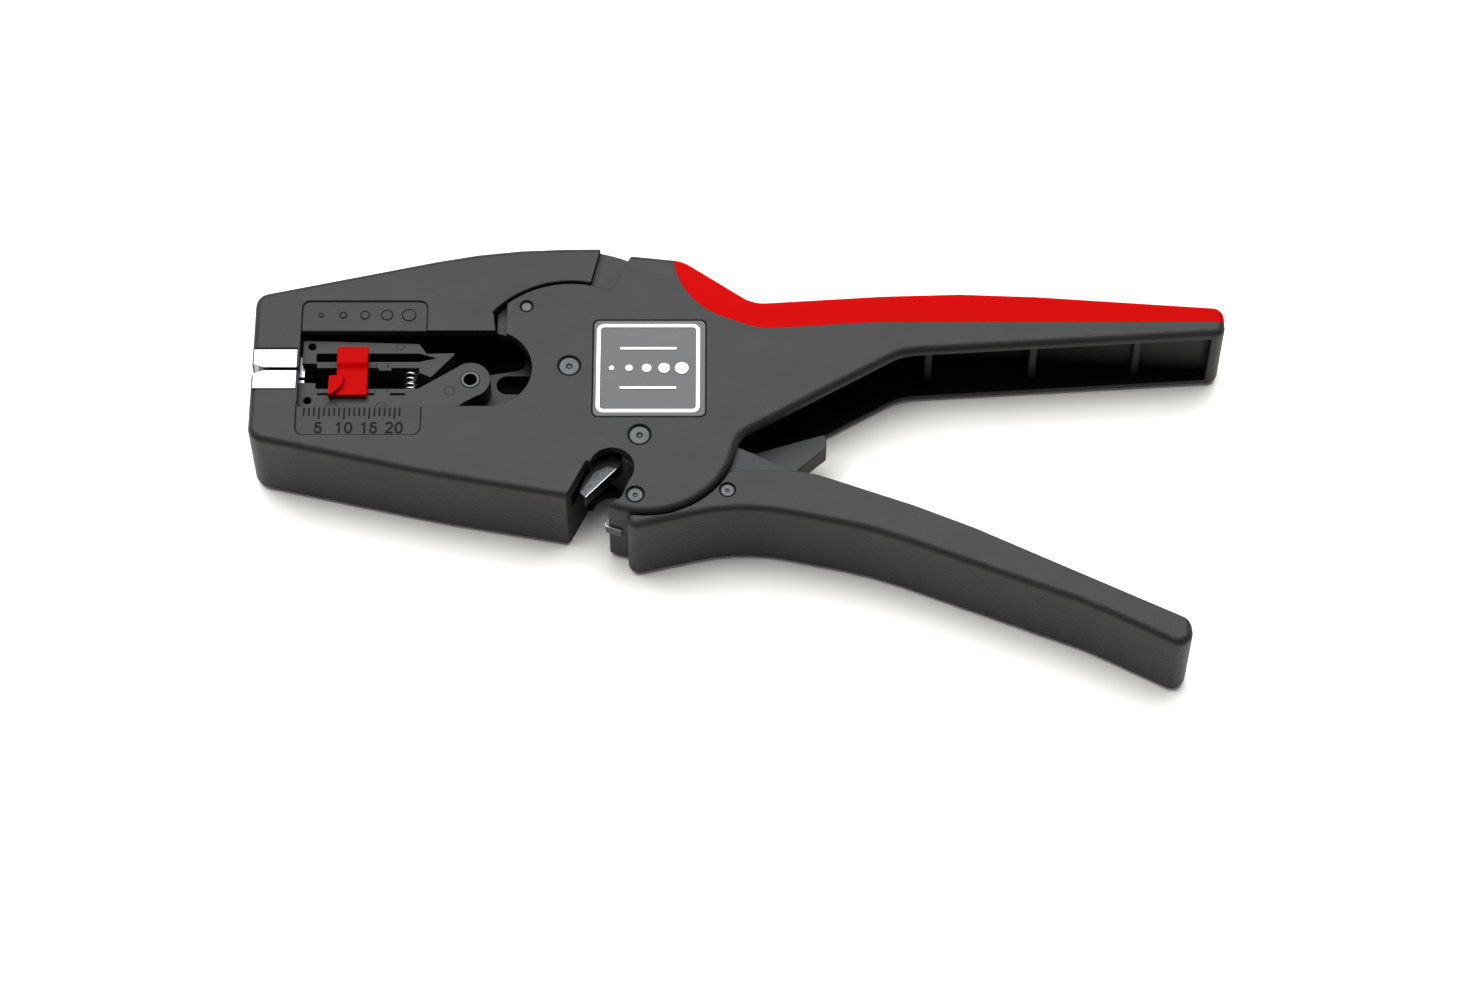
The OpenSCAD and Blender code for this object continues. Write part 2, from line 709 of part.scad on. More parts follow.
module lower_blade_arm() {
    color("#4a4b4d")
    shift()
        difference() {
            union() {
                slab([[lower_lip_x, 5, 0.5], [rail_end, 5, 0], [rail_end, lower_rail, 0],
                    [step_x, lower_rail, 0], [step_x, mouth_y - 1.9, 0],
                    [lower_lip_x, mouth_y - 1.8, 0]], layer_low, layer_top);
                slab([[rail_end - 1, 5, 0], [ring.x - 6, 5, 0], [ring.x - 1, ring.y - 5.2, 0],
                    [ring.x + 3.1, ring.y - 2.6, 0], [ring.x, ring.y, 0], [ring.x - 1.9, ring.y + 3.5, 0],
                    [ring.x - 10.4, lower_rail, 0], [rail_end - 1, lower_rail, 0]],
                    eye_top_z, layer_top);
                rod(ring, eye_r, eye_top_z, layer_top);
            }
            for (x = [step_x + 0.4, ring.x - 15.9])
                translate([x, lower_rail - 1.5, layer_top - 0.5])
                    cube([x < ring.x - 20 ? ring.x - 19 - x : 3, 0.4, 2]);
            blade_pocket();
            rod([arm_x + 1, mouth_y - 6], 0.8, layer_top - 4, thick);
            rod(ring, ring_r + run, 0, thick);
        }
}

module stripping_blade(side) {
    edge = mouth_y + side * blade_gap / 2;
    root = mouth_y + side * 5;
    translate([blade_x, 0, 0])
        rotate([90, 0, 90])
            linear_extrude(blade_t)
                polygon([[edge, 4], [edge, thick / 2 - 1.2], [edge + side * 1.2, thick / 2],
                    [edge, thick / 2 + 1.2], [edge, thick - 4], [root, thick - 4], [root, 4]]);
}

module upper_blade() {
    color("#d2d4d6")
    shift()
        stripping_blade(1);
}

module lower_blade() {
    color("#d2d4d6")
    shift()
        stripping_blade(-1);
}

module arm_spring() {
    z = layer_top - 1.8;
    color("#c4c6c8")
    shift()
        coil_between([arm_spring_x, lower_rail + 0.02, z], [arm_spring_x, upper_rail - 0.02, z],
            1.25, 0.25, 3.5);
}

module length_stop() {
    x0 = blade_x + 7.7;
    seat = layer_top + gap;
    rise = thick - 0.1 - stop_t - seat;
    foot = lower_rail - 2.3;
    top = slot_top + 0.2;
    color("#cf0a0a")
    shift() {
        translate([x0, 0, 0])
            rotate([90, 0, 90])
                linear_extrude(stop_w)
                    polygon([[foot, seat], [upper_rail - 1.3, seat],
                        [upper_rail + 0.3, seat + rise], [top, seat + rise],
                        [top, seat + rise + stop_t], [upper_rail + 0.1, seat + rise + stop_t],
                        [upper_rail - 0.4, seat + rise * 0.7 + stop_t],
                        [upper_rail - 1, seat + rise * 0.25 + stop_t],
                        [upper_rail - 1.8, seat + stop_t], [foot, seat + stop_t]]);
        translate([x0 + 0.3, slot_low + 0.15, layer_top - 5])
            cube([3.4, slot_top - slot_low - 0.3, seat + 1 - layer_top + 5]);
        slab([[x0 - 1.5, foot - 0.2, 0.2], [x0 - 0.8, foot - 0.3, 0.2], [x0 + 1.2, foot + 1.7, 0.3],
            [x0 + 1.6, lower_rail + 1.8, 0.2], [x0 - 1.4, lower_rail + 1.7, 0.2]],
            seat, thick - 0.2);
    }
}

// Drive

module rocker() {
    fork = roller_r + slot_play;
    fork_angle = line_angle - 180 + rocker_half;
    color("#85888b")
    shift()
        difference() {
            union() {
                rod(A, 3.6, rocker_z, rocker_z + rocker_t);
                rod(yoke_at, 2.6, rocker_z, rocker_z + rocker_t);
                rocker_bar(A, 90 + rocker_half, 0, yoke_r, 2.4);
                rocker_bar(A, fork_angle, 0, 10.2, fork + 1.9);
            }
            rocker_bar(A, fork_angle, 5.3, 12, fork);
            rod(A, pivot_r + run, 0, thick);
            rod(yoke_at, roller_r + press, 0, thick);
        }
}

module rocker_bar(p, angle, from, to, half_w) {
    translate([p.x, p.y, rocker_z])
        rotate([0, 0, angle])
            translate([from, -half_w, 0])
                cube([to - from, 2 * half_w, rocker_t]);
}

module yoke_pin() {
    color("#b4b6b8")
    shift()
        rod(yoke_at, roller_r, rocker_z, drawbar_top - 0.2);
}

module return_spring() {
    z = drawbar_z + drawbar_t / 2;
    color("#a9abad")
    shift()
        coil_between([A.x + pivot_r + 2.72, A.y + 1, z], [8.98, A.y + 1, z], 1.8, 0.35, 7);
}

// Lower handle

lever_path = [
    [-2.4, -4.4, 0], [5.2, -15.4, 1], [12, -13.9, 2], [24, -13, 10], [40, -16.4, 10],
    [58, -23.2, 1], [59.5, -20.3, 1], [33, -8.4, 0], [18.3, -0.8, 1], [9, 5.4, 2], [0, 5.4, 0]
];
guide_path = [
    [12, -6, 0], [30, -9, 0], [31.2, -3.7, 0], [37.1, 1.6, 0.6], [37, 4.9, 0.6], [23.2, 0.5, 0],
    [12, 3, 0]
];
lobe_path = [
    [-2, -5, 0], [-6.6, -2.4, 2], [-10, 1, 2.6], [-7, 5.2, 2.6], [-2, 4.6, 0]
];
moving_path = [
    [-11.9, -10.7, 0.2], [-10.6, -11.9, 0], [-3.6, -4.3, 0.5], [-3.1, 0, 0.5], [-4.4, 4.2, 1],
    [-8.6, 4.2, 2], [-10, 0.6, 1], [-9.4, -3.4, 1]
];
rivets_at = [[-7.2, 1.8], [-5.6, -2.2]];

module drive_arm(z0, z1) {
    difference() {
        union() {
            rod(drive_at, roller_r + 1.4, z0, z1);
            translate([0, 0, z0])
                rotate([0, 0, line_angle - squeeze / 2])
                    translate([0, -roller_r - 1.4, 0])
                        cube([drive_r, 2 * (roller_r + 1.4), z1 - z0]);
        }
        rod(drive_at, roller_r + press, 0, thick);
    }
}

module inner_lever() {
    color("#55575a")
    shift()
        difference() {
            union() {
                rod(B, 5.4, layer_low + 0.1, layer_top - 0.1);
                slab(lever_path, layer_low + 0.1, layer_top - 0.1);
                slab(guide_path, 7, shear_z);
                slab(lobe_path, rocker_z, shear_z);
                drive_arm(layer_low + 0.1, rocker_z - gap);
            }
            slab(moving_path, shear_z, thick);
            rod(B, pivot_r + run, 0, thick);
            rod(handle_pin_at, lever_pin_r + press, 0, thick);
            for (p = rivets_at)
                rod(p, 0.9 + press, 0, thick);
            translate([24, -11.8, thick / 2 - 3])
                cube([20, 1.2, 6]);
        }
}

module moving_cutter_blade() {
    p = moving_path[1];
    q = moving_path[2];
    color("#8f9296")
    shift()
        difference() {
            slab(moving_path, shear_z + shear_gap, shear_z + shear_gap + moving_t);
            translate([p.x, p.y, shear_z + shear_gap + 0.2])
                rotate([0, 0, atan2(q.y - p.y, q.x - p.x)])
                    rotate([20, 0, 0])
                        translate([-4, -6, 0])
                            cube([18, 6, 8]);
            for (r = rivets_at)
                rod(r, 0.9 + press, 0, thick);
        }
}

module cutter_rivets() {
    color("#77797c")
    shift()
        for (p = rivets_at)
            rod(p, 0.9, rocker_z + 0.5, shear_z + shear_gap + moving_t + 0.05);
}

module drive_pin() {
    color("#b4b6b8")
    shift()
        rod(drive_at, roller_r, layer_low + 0.1, rocker_z + rocker_t);
}

module handle_pin() {
    color("#77797c")
    shift()
        dimpled_pin(handle_pin_at, lever_pin_r, pin_sink, thick - pin_sink);
}

tip = [106.4, -41.6];
cover_c = turned(heel_c, -squeeze);
cover_outer = [[-2.9, -21.5, 2], [20, -15.8, 40], [46, -21.5, 80], [88, -38.3, 60],
    [tip.x + 1, tip.y - 7, 2.8], [tip.x + 0.6, tip.y, 2.8]];
cover_heel = arc(cover_c, heel_r + heel_gap, -28, -101);
cover_inner = [[60, -18.3, 120], [33, -8.3, 25], [20.6, -8, 3]];
cover_path = concat(cover_heel, cover_outer, cover_inner);
cover_edge = concat(
    [past(cover_outer[0], cover_heel[len(cover_heel) - 1], 1.8)],
    [for (i = [0:4]) cover_outer[i]],
    [past(cover_outer[4], cover_outer[5], 1.5)]
);
cover_room_path = [
    [14, -14.6, 1], [22, -13.5, 12], [46, -18.8, 60], [88, -35.3, 60], [tip.x - 1.4, tip.y - 3.6, 1],
    [tip.x + 2, tip.y + 8, 0], [60, -6, 0], [10, 4, 0], [8, -6, 0]
];

module handle_cover() {
    color("#3a3b3c")
    shift()
        difference() {
            union() {
                difference() {
                    slab(cover_path, 0, thick);
                    edge_cuts(cover_edge, cover_r);
                    slab(cover_room_path, z_back, z_front);
                }
                intersection() {
                    slab(cover_path, z_back / 2, thick - z_back / 2);
                    translate([0, 0, z_back / 2])
                        for (p = [[66, -24], [79, -30.5], [92, -37]])
                            translate([p.x, p.y, 0])
                                rotate([0, 0, -26])
                                    translate([-rib_t / 2, -6, 0])
                                        cube([rib_t, 8.6, thick - z_back]);
                }
            }
            pin_seat(handle_pin_at, lever_pin_r, press);
        }
}

main_housing();
grip_inlay();
label_plate();
lower_gripper();
fixed_cutter_blade();
jaw_pivot_pin();
handle_pivot_pin();
cutter_pin();
jaw_stop_pins();
upper_jaw();
upper_gripper();
jaw_spring();
drawbar();
blade_arm_pin();
upper_blade_arm();
lower_blade_arm();
upper_blade();
lower_blade();
arm_spring();
length_stop();
rocker();
yoke_pin();
return_spring();
inner_lever();
moving_cutter_blade();
cutter_rivets();
drive_pin();
handle_pin();
handle_cover();
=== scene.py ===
"""Looks of the automatic wire stripper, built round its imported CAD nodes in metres."""

import logging
import math
from collections.abc import Sequence
from dataclasses import dataclass, field
from enum import Enum

import bmesh
import bpy
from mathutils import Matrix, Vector
from mathutils.bvhtree import BVHTree
from mathutils.geometry import intersect_line_line_2d, intersect_point_line
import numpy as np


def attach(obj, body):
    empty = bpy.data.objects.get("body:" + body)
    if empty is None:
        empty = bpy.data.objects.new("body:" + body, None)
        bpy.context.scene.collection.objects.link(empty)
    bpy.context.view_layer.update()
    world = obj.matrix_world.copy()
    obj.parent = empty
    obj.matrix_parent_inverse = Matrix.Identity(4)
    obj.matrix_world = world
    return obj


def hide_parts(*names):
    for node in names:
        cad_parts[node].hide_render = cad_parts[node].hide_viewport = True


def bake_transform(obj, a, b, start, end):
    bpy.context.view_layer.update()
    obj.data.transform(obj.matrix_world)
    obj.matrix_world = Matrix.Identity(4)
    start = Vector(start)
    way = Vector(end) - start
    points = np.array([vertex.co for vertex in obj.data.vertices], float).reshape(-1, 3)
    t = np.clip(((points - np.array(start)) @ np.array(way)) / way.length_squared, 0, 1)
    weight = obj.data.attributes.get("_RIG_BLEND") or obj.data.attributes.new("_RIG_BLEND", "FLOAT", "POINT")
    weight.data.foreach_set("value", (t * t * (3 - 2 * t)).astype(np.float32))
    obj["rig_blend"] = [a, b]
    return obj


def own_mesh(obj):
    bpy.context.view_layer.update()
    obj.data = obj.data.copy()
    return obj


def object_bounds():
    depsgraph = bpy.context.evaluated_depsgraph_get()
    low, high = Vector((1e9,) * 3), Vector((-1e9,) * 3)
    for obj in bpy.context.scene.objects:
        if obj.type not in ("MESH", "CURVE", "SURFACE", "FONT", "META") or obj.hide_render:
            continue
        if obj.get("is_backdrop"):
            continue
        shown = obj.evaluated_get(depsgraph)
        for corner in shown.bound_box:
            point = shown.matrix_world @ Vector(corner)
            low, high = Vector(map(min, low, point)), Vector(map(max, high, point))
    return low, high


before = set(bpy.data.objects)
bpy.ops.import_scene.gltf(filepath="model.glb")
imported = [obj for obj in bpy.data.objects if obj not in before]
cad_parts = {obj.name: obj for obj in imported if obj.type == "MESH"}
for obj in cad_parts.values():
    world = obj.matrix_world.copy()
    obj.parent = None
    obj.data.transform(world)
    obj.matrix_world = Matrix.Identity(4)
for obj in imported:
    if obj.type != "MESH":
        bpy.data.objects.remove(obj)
CAD_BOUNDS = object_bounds()

LOG = logging.getLogger("wire_stripper")
MM = 0.001
# Attribute of the faces that holds their painted shade: how deep inside a piece each one lies
PAINTED_SHADE_ATTRIBUTE = "recess"
# Attribute of the edges that the bevel modifier reads its widths from
BEVEL_WEIGHT = "bevel_weight_edge"
# Least cosine of half a bend that a stroke's corner allows for, so that a sharp corner's tip stays short
LEAST_MITRE = 0.5
# Angle above which the shading of a built piece stays sharp, in degrees
CREASE = 40.0

Pair = tuple[float, float]
Triple = tuple[float, float, float]
Chain = list[bmesh.types.BMEdge]


class Body(Enum):
    """CAD bodies that pieces ride on."""

    HOUSING = "housing"
    JAW = "upper_jaw_body"
    HANDLE = "lower_handle"
    ROCKER = "pull_rocker"
    CARRIAGE = "blade_carriage"
    UPPER_ARM = "upper_arm"
    LOWER_ARM = "lower_arm"
    STOP = "stop_slider"


class Slot(Enum):
    """Material slots of the record."""

    BODY = "body_plastic"
    RED = "red_plastic"
    STOP = "stop_plastic"
    LABEL = "label_plastic"
    ARM = "arm_plastic"
    LEVER = "lever_metal"
    POLISHED = "polished_steel"
    BLADE = "blade_steel"
    PIN = "pin_steel"
    SPRING = "spring_steel"
    SHEET = "sheet_steel"


class Finish(Enum):
    """Finishes of the tool's pieces and of the floor."""

    BODY = "body"
    RED = "red"
    STOP = "stop"
    LABEL = "label"
    ARM = "arm"
    MARK = "mark"
    LEVER = "lever"
    GRIPPER = "gripper"
    BLADE = "blade"
    CUTTER = "cutter"
    BEVEL = "bevel"
    EDGE = "edge"
    PIN = "pin"
    SPRING = "spring"
    SHEET = "sheet"
    PRINT = "print"
    FLOOR = "floor"


class Axis(Enum):
    """Directions in the frame."""

    X = (1.0, 0.0, 0.0)
    Y = (0.0, 1.0, 0.0)
    Z = (0.0, 0.0, 1.0)


# The drawing


@dataclass(frozen=True)
class Datum:
    """Where the drawing's zero, the handle pivot, lies in the frame, and the levels of the tool.

    Args:
        x: X of the zero in the frame, in mm.
        y: Y of the zero in the frame, in mm.
        thick: Thickness of the tool, in mm.
        sunk: Depth of the sunk fields in the front face, in mm.
    """

    x: float = -19.8
    y: float = 1.95
    thick: float = 20.0
    sunk: float = 0.3

    @property
    def floor(self) -> float:
        """Height of the sunk fields' floor, in mm."""
        return self.thick - self.sunk

    def at(self, x: float, y: float, z: float = 0.0) -> Vector:
        """Frame position, in metres, of a drawing point and its height over the back face, in mm."""
        return Vector(((x + self.x) * MM, (y + self.y) * MM, z * MM))


DATUM = Datum()


def arc(centre: Pair, radii: Pair, first: float, turn: float, count: int) -> tuple[Pair, ...]:
    """Points along the arc of an ellipse.

    Args:
        centre: Its centre.
        radii: Its radii along X and Y.
        first: Angle of the first point, in degrees.
        turn: Angle from each point to the next, in degrees.
        count: Number of points.

    Returns:
        The points, in the centre's unit.
    """
    angles = [math.radians(first + turn * i) for i in range(count)]
    return tuple((centre[0] + radii[0] * math.cos(a), centre[1] + radii[1] * math.sin(a)) for a in angles)


def ring(centre: Pair, radius: float, sides: int) -> tuple[Pair, ...]:
    """Corners of a many-sided circle."""
    return arc(centre, (radius, radius), 0.0, 360 / sides, sides)


def polar(centre: Pair, radius: float, angle: float) -> Pair:
    """The point at a distance and an angle in degrees from another."""
    return arc(centre, (radius, radius), angle, 0.0, 1)[0]


# Node trees


class NodeGraph:
    """A shader or geometry tree while it is put together."""

    def __init__(self, tree: bpy.types.NodeTree) -> None:
        """Starts on an empty tree."""
        self.tree = tree

    @staticmethod
    def find(sockets: Sequence[bpy.types.NodeSocket], key: int | str) -> bpy.types.NodeSocket:
        """Looks up one socket of a node.

        Args:
            sockets: The node's inputs or outputs.
            key: Number, identifier or name of the socket.

        Returns:
            The socket.
        """
        if isinstance(key, int):
            return sockets[key]
        return next(s for s in sockets if key in (s.identifier, s.name))

    def add(self, kind: str, inputs: dict[int | str, object] | None = None, output: int | str | None = None,
            **settings: object) -> bpy.types.NodeSocket | None:
        """Adds one node with its settings and links.

        Args:
            kind: Blender's type of the node.
            inputs: Its sockets' values, or the output sockets that feed them.
            output: Which of its outputs to return, the first in use if None.
            settings: Properties of the node itself.

        Returns:
            The output socket, or None for a node that has none.
        """
        node = self.tree.nodes.new(kind)
        for key, value in settings.items():
            setattr(node, key, value)
        for key, value in (inputs or {}).items():
            socket = self.find(node.inputs, key)
            if isinstance(value, bpy.types.NodeSocket):
                self.tree.links.new(value, socket)
            else:
                socket.default_value = value
        if not node.outputs:
            return None
        if output is not None:
            return self.find(node.outputs, output)
        return next(s for s in node.outputs if s.enabled)


def linear(code: str) -> tuple[float, float, float, float]:
    """Linear colour of an sRGB hex code.

    Args:
        code: Six hex digits with or without a leading hash.

    Returns:
        Red, green, blue and an alpha of 1.
    """
    digits = code.lstrip("#")
    values = [int(digits[i:i + 2], 16) / 255 for i in (0, 2, 4)]
    channels = [v / 12.92 if v <= 0.04045 else ((v + 0.055) / 1.055) ** 2.4 for v in values]
    return (*channels, 1.0)


def surface(name: str) -> tuple[bpy.types.Material, NodeGraph, bpy.types.NodeSocket]:
    """Starts a material.

    Args:
        name: Its name.

    Returns:
        The material, its graph, and its Object coordinates in metres.
    """
    material = bpy.data.materials.new(name)
    material.use_nodes = True
    material.node_tree.nodes.clear()
    graph = NodeGraph(material.node_tree)
    return material, graph, graph.add("ShaderNodeTexCoord", output="Object")


def close(graph: NodeGraph, inputs: dict[int | str, object]) -> None:
    """Ends a material's graph in one principled surface."""
    graph.add("ShaderNodeOutputMaterial", {"Surface": graph.add("ShaderNodeBsdfPrincipled", inputs)})


# Finishes


@dataclass(frozen=True)
class MouldedPlastic:
    """Injection moulded plastic from a spark-eroded mould.

    Args:
        name: Name of the finish.
        dark: Colour of the darker patches.
        light: Colour of the lighter patches.
        roughness: Lowest and highest roughness.
        grain: Size of the mould's grain, in mm, coarser than life so that it shows.
        relief: Depth of the grain, in mm.
        gloss: Strength of the mirroring at the surface.
        patch: Size of the patches of colour, in mm.
        streak: Size of the patches of roughness, in mm.
        hollow: Painted shade: colour deep inside, where little light comes back out, mixed in by the faces'
            shade attribute.
        blind: Roughness deep inside, where no tool polished the mould.
    """

    name: str
    dark: str
    light: str
    roughness: Pair = (0.44, 0.54)
    grain: float = 0.38
    relief: float = 0.012
    gloss: float = 0.5
    patch: float = 22.0
    streak: float = 6.0
    # Painted shade colour for the faces deep inside the piece
    hollow: str = "#030303"
    blind: float = 0.95

    def build(self) -> bpy.types.Material:
        """Makes the finish.

        Returns:
            Its material.
        """
        material, graph, place = surface(self.name)
        cloud = graph.add("ShaderNodeTexNoise", {
            "Vector": place, "Scale": 1 / (self.patch * MM), "Detail": 3.0})
        streak = graph.add("ShaderNodeTexNoise", {
            "Vector": place, "Scale": 1 / (self.streak * MM), "Detail": 3.0})
        grain = graph.add("ShaderNodeTexNoise", {
            "Vector": place, "Scale": 1 / (self.grain * MM), "Detail": 2.0, "Roughness": 0.55})
        # Painted shade: the faces' shade attribute darkens the colour and raises the roughness deep inside
        # the piece
        deep = graph.add("ShaderNodeAttribute", output="Fac", attribute_name=PAINTED_SHADE_ATTRIBUTE)
        tone = graph.add("ShaderNodeMix", {
            "Factor_Float": cloud, "A_Color": linear(self.dark), "B_Color": linear(self.light),
        }, data_type="RGBA")
        tone = graph.add("ShaderNodeMix", {
            "Factor_Float": deep, "A_Color": tone, "B_Color": linear(self.hollow)}, data_type="RGBA")
        rough = graph.add("ShaderNodeMapRange", {
            "Value": streak, "To Min": self.roughness[0], "To Max": self.roughness[1]})
        rough = graph.add("ShaderNodeMapRange", {"Value": deep, "To Min": rough, "To Max": self.blind})
        normal = graph.add("ShaderNodeBump", {"Height": grain, "Distance": self.relief * MM})
        close(graph, {
            "Base Color": tone, "Roughness": rough, "Normal": normal, "Specular IOR Level": self.gloss})
        return material


@dataclass(frozen=True)
class WorkedSteel:
    """Steel with the fine marks that grinding, turning or drawing leaves along one axis.

    Args:
        name: Name of the finish.
        dark: Colour of the darker patches.
        light: Colour of the lighter patches.
        roughness: Lowest and highest roughness.
        along: The axis that the marks follow.
        grain: Width of the marks, in mm, coarser than life so that they show.
        relief: Depth of the marks, in mm.
        metallic: Share of metal in the surface, less under oil or oxide.
        patch: Size of the patches of colour, in mm.
        slender: Width of the marks over their length.
    """

    name: str
    dark: str
    light: str
    roughness: Pair = (0.18, 0.3)
    along: Axis = Axis.Y
    grain: float = 0.09
    relief: float = 0.003
    metallic: float = 1.0
    patch: float = 3.0
    slender: float = 0.03

    def build(self) -> bpy.types.Material:
        """Makes the finish.

        Returns:
            Its material.
        """
        material, graph, place = surface(self.name)
        stretch = tuple(self.slender if component else 1.0 for component in self.along.value)
        drawn = graph.add("ShaderNodeMapping", {"Vector": place, "Scale": stretch})
        marks = graph.add("ShaderNodeTexNoise", {
            "Vector": drawn, "Scale": 1 / (self.grain * MM), "Detail": 3.0, "Roughness": 0.55})
        cloud = graph.add("ShaderNodeTexNoise", {
            "Vector": place, "Scale": 1 / (self.patch * MM), "Detail": 2.0})
        tone = graph.add("ShaderNodeMix", {
            "Factor_Float": cloud, "A_Color": linear(self.dark), "B_Color": linear(self.light),
        }, data_type="RGBA")
        rough = graph.add("ShaderNodeMapRange", {
            "Value": marks, "To Min": self.roughness[0], "To Max": self.roughness[1]})
        normal = graph.add("ShaderNodeBump", {"Height": marks, "Distance": self.relief * MM})
        close(graph, {"Base Color": tone, "Metallic": self.metallic, "Roughness": rough, "Normal": normal})
        return material


@dataclass(frozen=True)
class Print:
    """A thin printed layer or paper, faintly uneven.

    Args:
        name: Name of the finish.
        dark: Colour where the layer is thin.
        light: Colour where the layer is full.
        roughness: Its roughness.
        patch: Size of the uneven patches, in mm.
        relief: Height of the patches, in mm.
    """

    name: str
    dark: str
    light: str
    roughness: float = 0.5
    patch: float = 1.2
    relief: float = 0.004

    def build(self) -> bpy.types.Material:
        """Makes the finish.

        Returns:
            Its material.
        """
        material, graph, place = surface(self.name)
        cloud = graph.add("ShaderNodeTexNoise", {
            "Vector": place, "Scale": 1 / (self.patch * MM), "Detail": 2.0})
        tone = graph.add("ShaderNodeMix", {
            "Factor_Float": cloud, "A_Color": linear(self.dark), "B_Color": linear(self.light),
        }, data_type="RGBA")
        normal = graph.add("ShaderNodeBump", {"Height": cloud, "Distance": self.relief * MM})
        close(graph, {"Base Color": tone, "Roughness": self.roughness, "Normal": normal})
        return material


def tool_finishes() -> dict[Finish, MouldedPlastic | WorkedSteel | Print]:
    """Says how each finish is made.

    Returns:
        The recipe of every finish.
    """
    return {
        # Glass-filled polyamide from an eroded mould: matt dark grey, and its edges show only a soft sheen
        Finish.BODY: MouldedPlastic(
            "anthracite_moulded_polyamide", "#1b1b1c", "#222223", grain=0.6, relief=0.09, gloss=0.2),
        # The same plastic in red: so matt that the colour stays full under the soft box
        Finish.RED: MouldedPlastic(
            "red_moulded_polyamide", "#960000", "#9e0100", (0.5, 0.6), grain=0.5, relief=0.02, gloss=0.02),
        # Acetal from a polished mould: smoother than the red grip, a deep even red
        Finish.STOP: MouldedPlastic(
            "glossy_red_acetal", "#900000", "#970000", (0.34, 0.42), grain=1.2, relief=0.004, gloss=0.015),
        # Smooth moulded plate: a lighter grey than the body, because it mirrors more of the soft box
        Finish.LABEL: MouldedPlastic(
            "satin_grey_plate", "#404142", "#464748", (0.38, 0.44), grain=0.3, relief=0.03, gloss=0.27),
        # Harder glass-filled plastic of the blade arms: flatter grain and a little more sheen than the body
        Finish.ARM: MouldedPlastic(
            "glass_filled_dark_polyamide", "#1e1e1f", "#232324", (0.42, 0.52), grain=0.6, gloss=0.19),
        # Sunk marks, and the painted shade lines in gaps: nearly black, because no light reaches their ground
        Finish.MARK: MouldedPlastic("black_sunk_marking", "#050505", "#090909", (0.6, 0.7), gloss=0.1),
        # Die-cast metal under a grey coating: a fine orange peel with a soft sheen
        Finish.LEVER: MouldedPlastic(
            "grey_coated_casting", "#1e1f20", "#242526", (0.42, 0.52), grain=0.4, relief=0.02, gloss=0.19),
        # Polished gripping blocks: they mirror the soft box and show white, with grey sides
        Finish.GRIPPER: WorkedSteel("polished_jaw_steel", "#888989", "#929393", (0.14, 0.22)),
        # Ground stripping blades: bright streaks where they face the light
        Finish.BLADE: WorkedSteel("ground_blade_steel", "#96989b", "#a4a6a9", (0.2, 0.34), Axis.X),
        # Flats of the hardened cutter: nearly black under oil
        Finish.CUTTER: WorkedSteel(
            "dark_hardened_steel", "#151516", "#1f1f20", (0.36, 0.5), Axis.X,
            grain=0.16, relief=0.012, metallic=0.8),
        # The cutter's ground bevel: grey, speckled by the coarse grain of the steel
        Finish.BEVEL: WorkedSteel(
            "coarse_ground_bevel", "#060606", "#5e5f60", (0.36, 0.6), Axis.X,
            grain=0.3, relief=0.05, metallic=0.9, patch=0.4),
        # Honed cutting edge: a bright thread
        Finish.EDGE: WorkedSteel("honed_edge_steel", "#9a9b9c", "#a8a9aa", (0.2, 0.3), Axis.X),
        # Pin heads under a thin dark oxide: a shade lighter than the body round them
        Finish.PIN: WorkedSteel(
            "oxidised_pin_steel", "#333334", "#434445", (0.38, 0.5), Axis.Z,
            grain=0.2, relief=0.012, metallic=0.9),
        # Drawn wire: each turn has a thin bright line
        Finish.SPRING: WorkedSteel("drawn_spring_wire", "#8e9092", "#b0b2b4", (0.2, 0.3), Axis.Z),
        # Phosphated plates inside: dull and nearly black
        Finish.SHEET: WorkedSteel(
            "phosphated_sheet_steel", "#151516", "#1e1e1f", (0.34, 0.46), Axis.X, metallic=0.8),
        # Screen print: even white with a dry surface
        Finish.PRINT: Print("white_print", "#efefee", "#fafaf9"),
        # Paper sweep: pale and matt, and the light burns it out to white
        Finish.FLOOR: Print("pale_studio_paper", "#f4f3ef", "#f7f6f2", 0.75, patch=60.0),
    }


@dataclass(frozen=True)
class Palette:
    """The finishes, each built when it is first asked for.

    Args:
        recipes: How each finish is made.
        made: The materials that are built already.
    """

    recipes: dict[Finish, MouldedPlastic | WorkedSteel | Print] = field(default_factory=tool_finishes)
    made: dict[Finish, bpy.types.Material] = field(default_factory=dict)

    def __getitem__(self, finish: Finish) -> bpy.types.Material:
        """Looks a finish up.

        Args:
            finish: The finish.

        Returns:
            Its material.
        """
        if finish not in self.made:
            self.made[finish] = self.recipes[finish].build()
        return self.made[finish]


# Meshes


def object_of(name: str, mesh: bpy.types.Mesh, material: bpy.types.Material) -> bpy.types.Object:
    """Links a mesh as an object of one material.

    Args:
        name: Name of the object.
        mesh: Its mesh.
        material: Its only material.

    Returns:
        The object, at the origin.
    """
    mesh.materials.clear()
    mesh.materials.append(material)
    made = bpy.data.objects.new(name, mesh)
    bpy.context.scene.collection.objects.link(made)
    return made


def settle(piece: bpy.types.Object) -> None:
    """Turns a piece's modifiers into plain mesh.

    Args:
        piece: The piece, which keeps its name and its place.
    """
    graph = bpy.context.evaluated_depsgraph_get()
    mesh = bpy.data.meshes.new_from_object(
        piece.evaluated_get(graph), preserve_all_data_layers=True, depsgraph=graph)
    piece.modifiers.clear()
    old = piece.data
    piece.data = mesh
    bpy.data.meshes.remove(old)


def place(piece: bpy.types.Object, body: Body, slot: Slot, nodes: Sequence[str] = ()) -> None:
    """Lets a piece ride on a body and stand for CAD nodes.

    Args:
        piece: The piece, in its place in the frame.
        body: The CAD body that it moves with.
        slot: The record's material slot. Not used.
        nodes: The CAD nodes that it replaces.
    """
    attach(piece, body.value)
    declare(nodes)


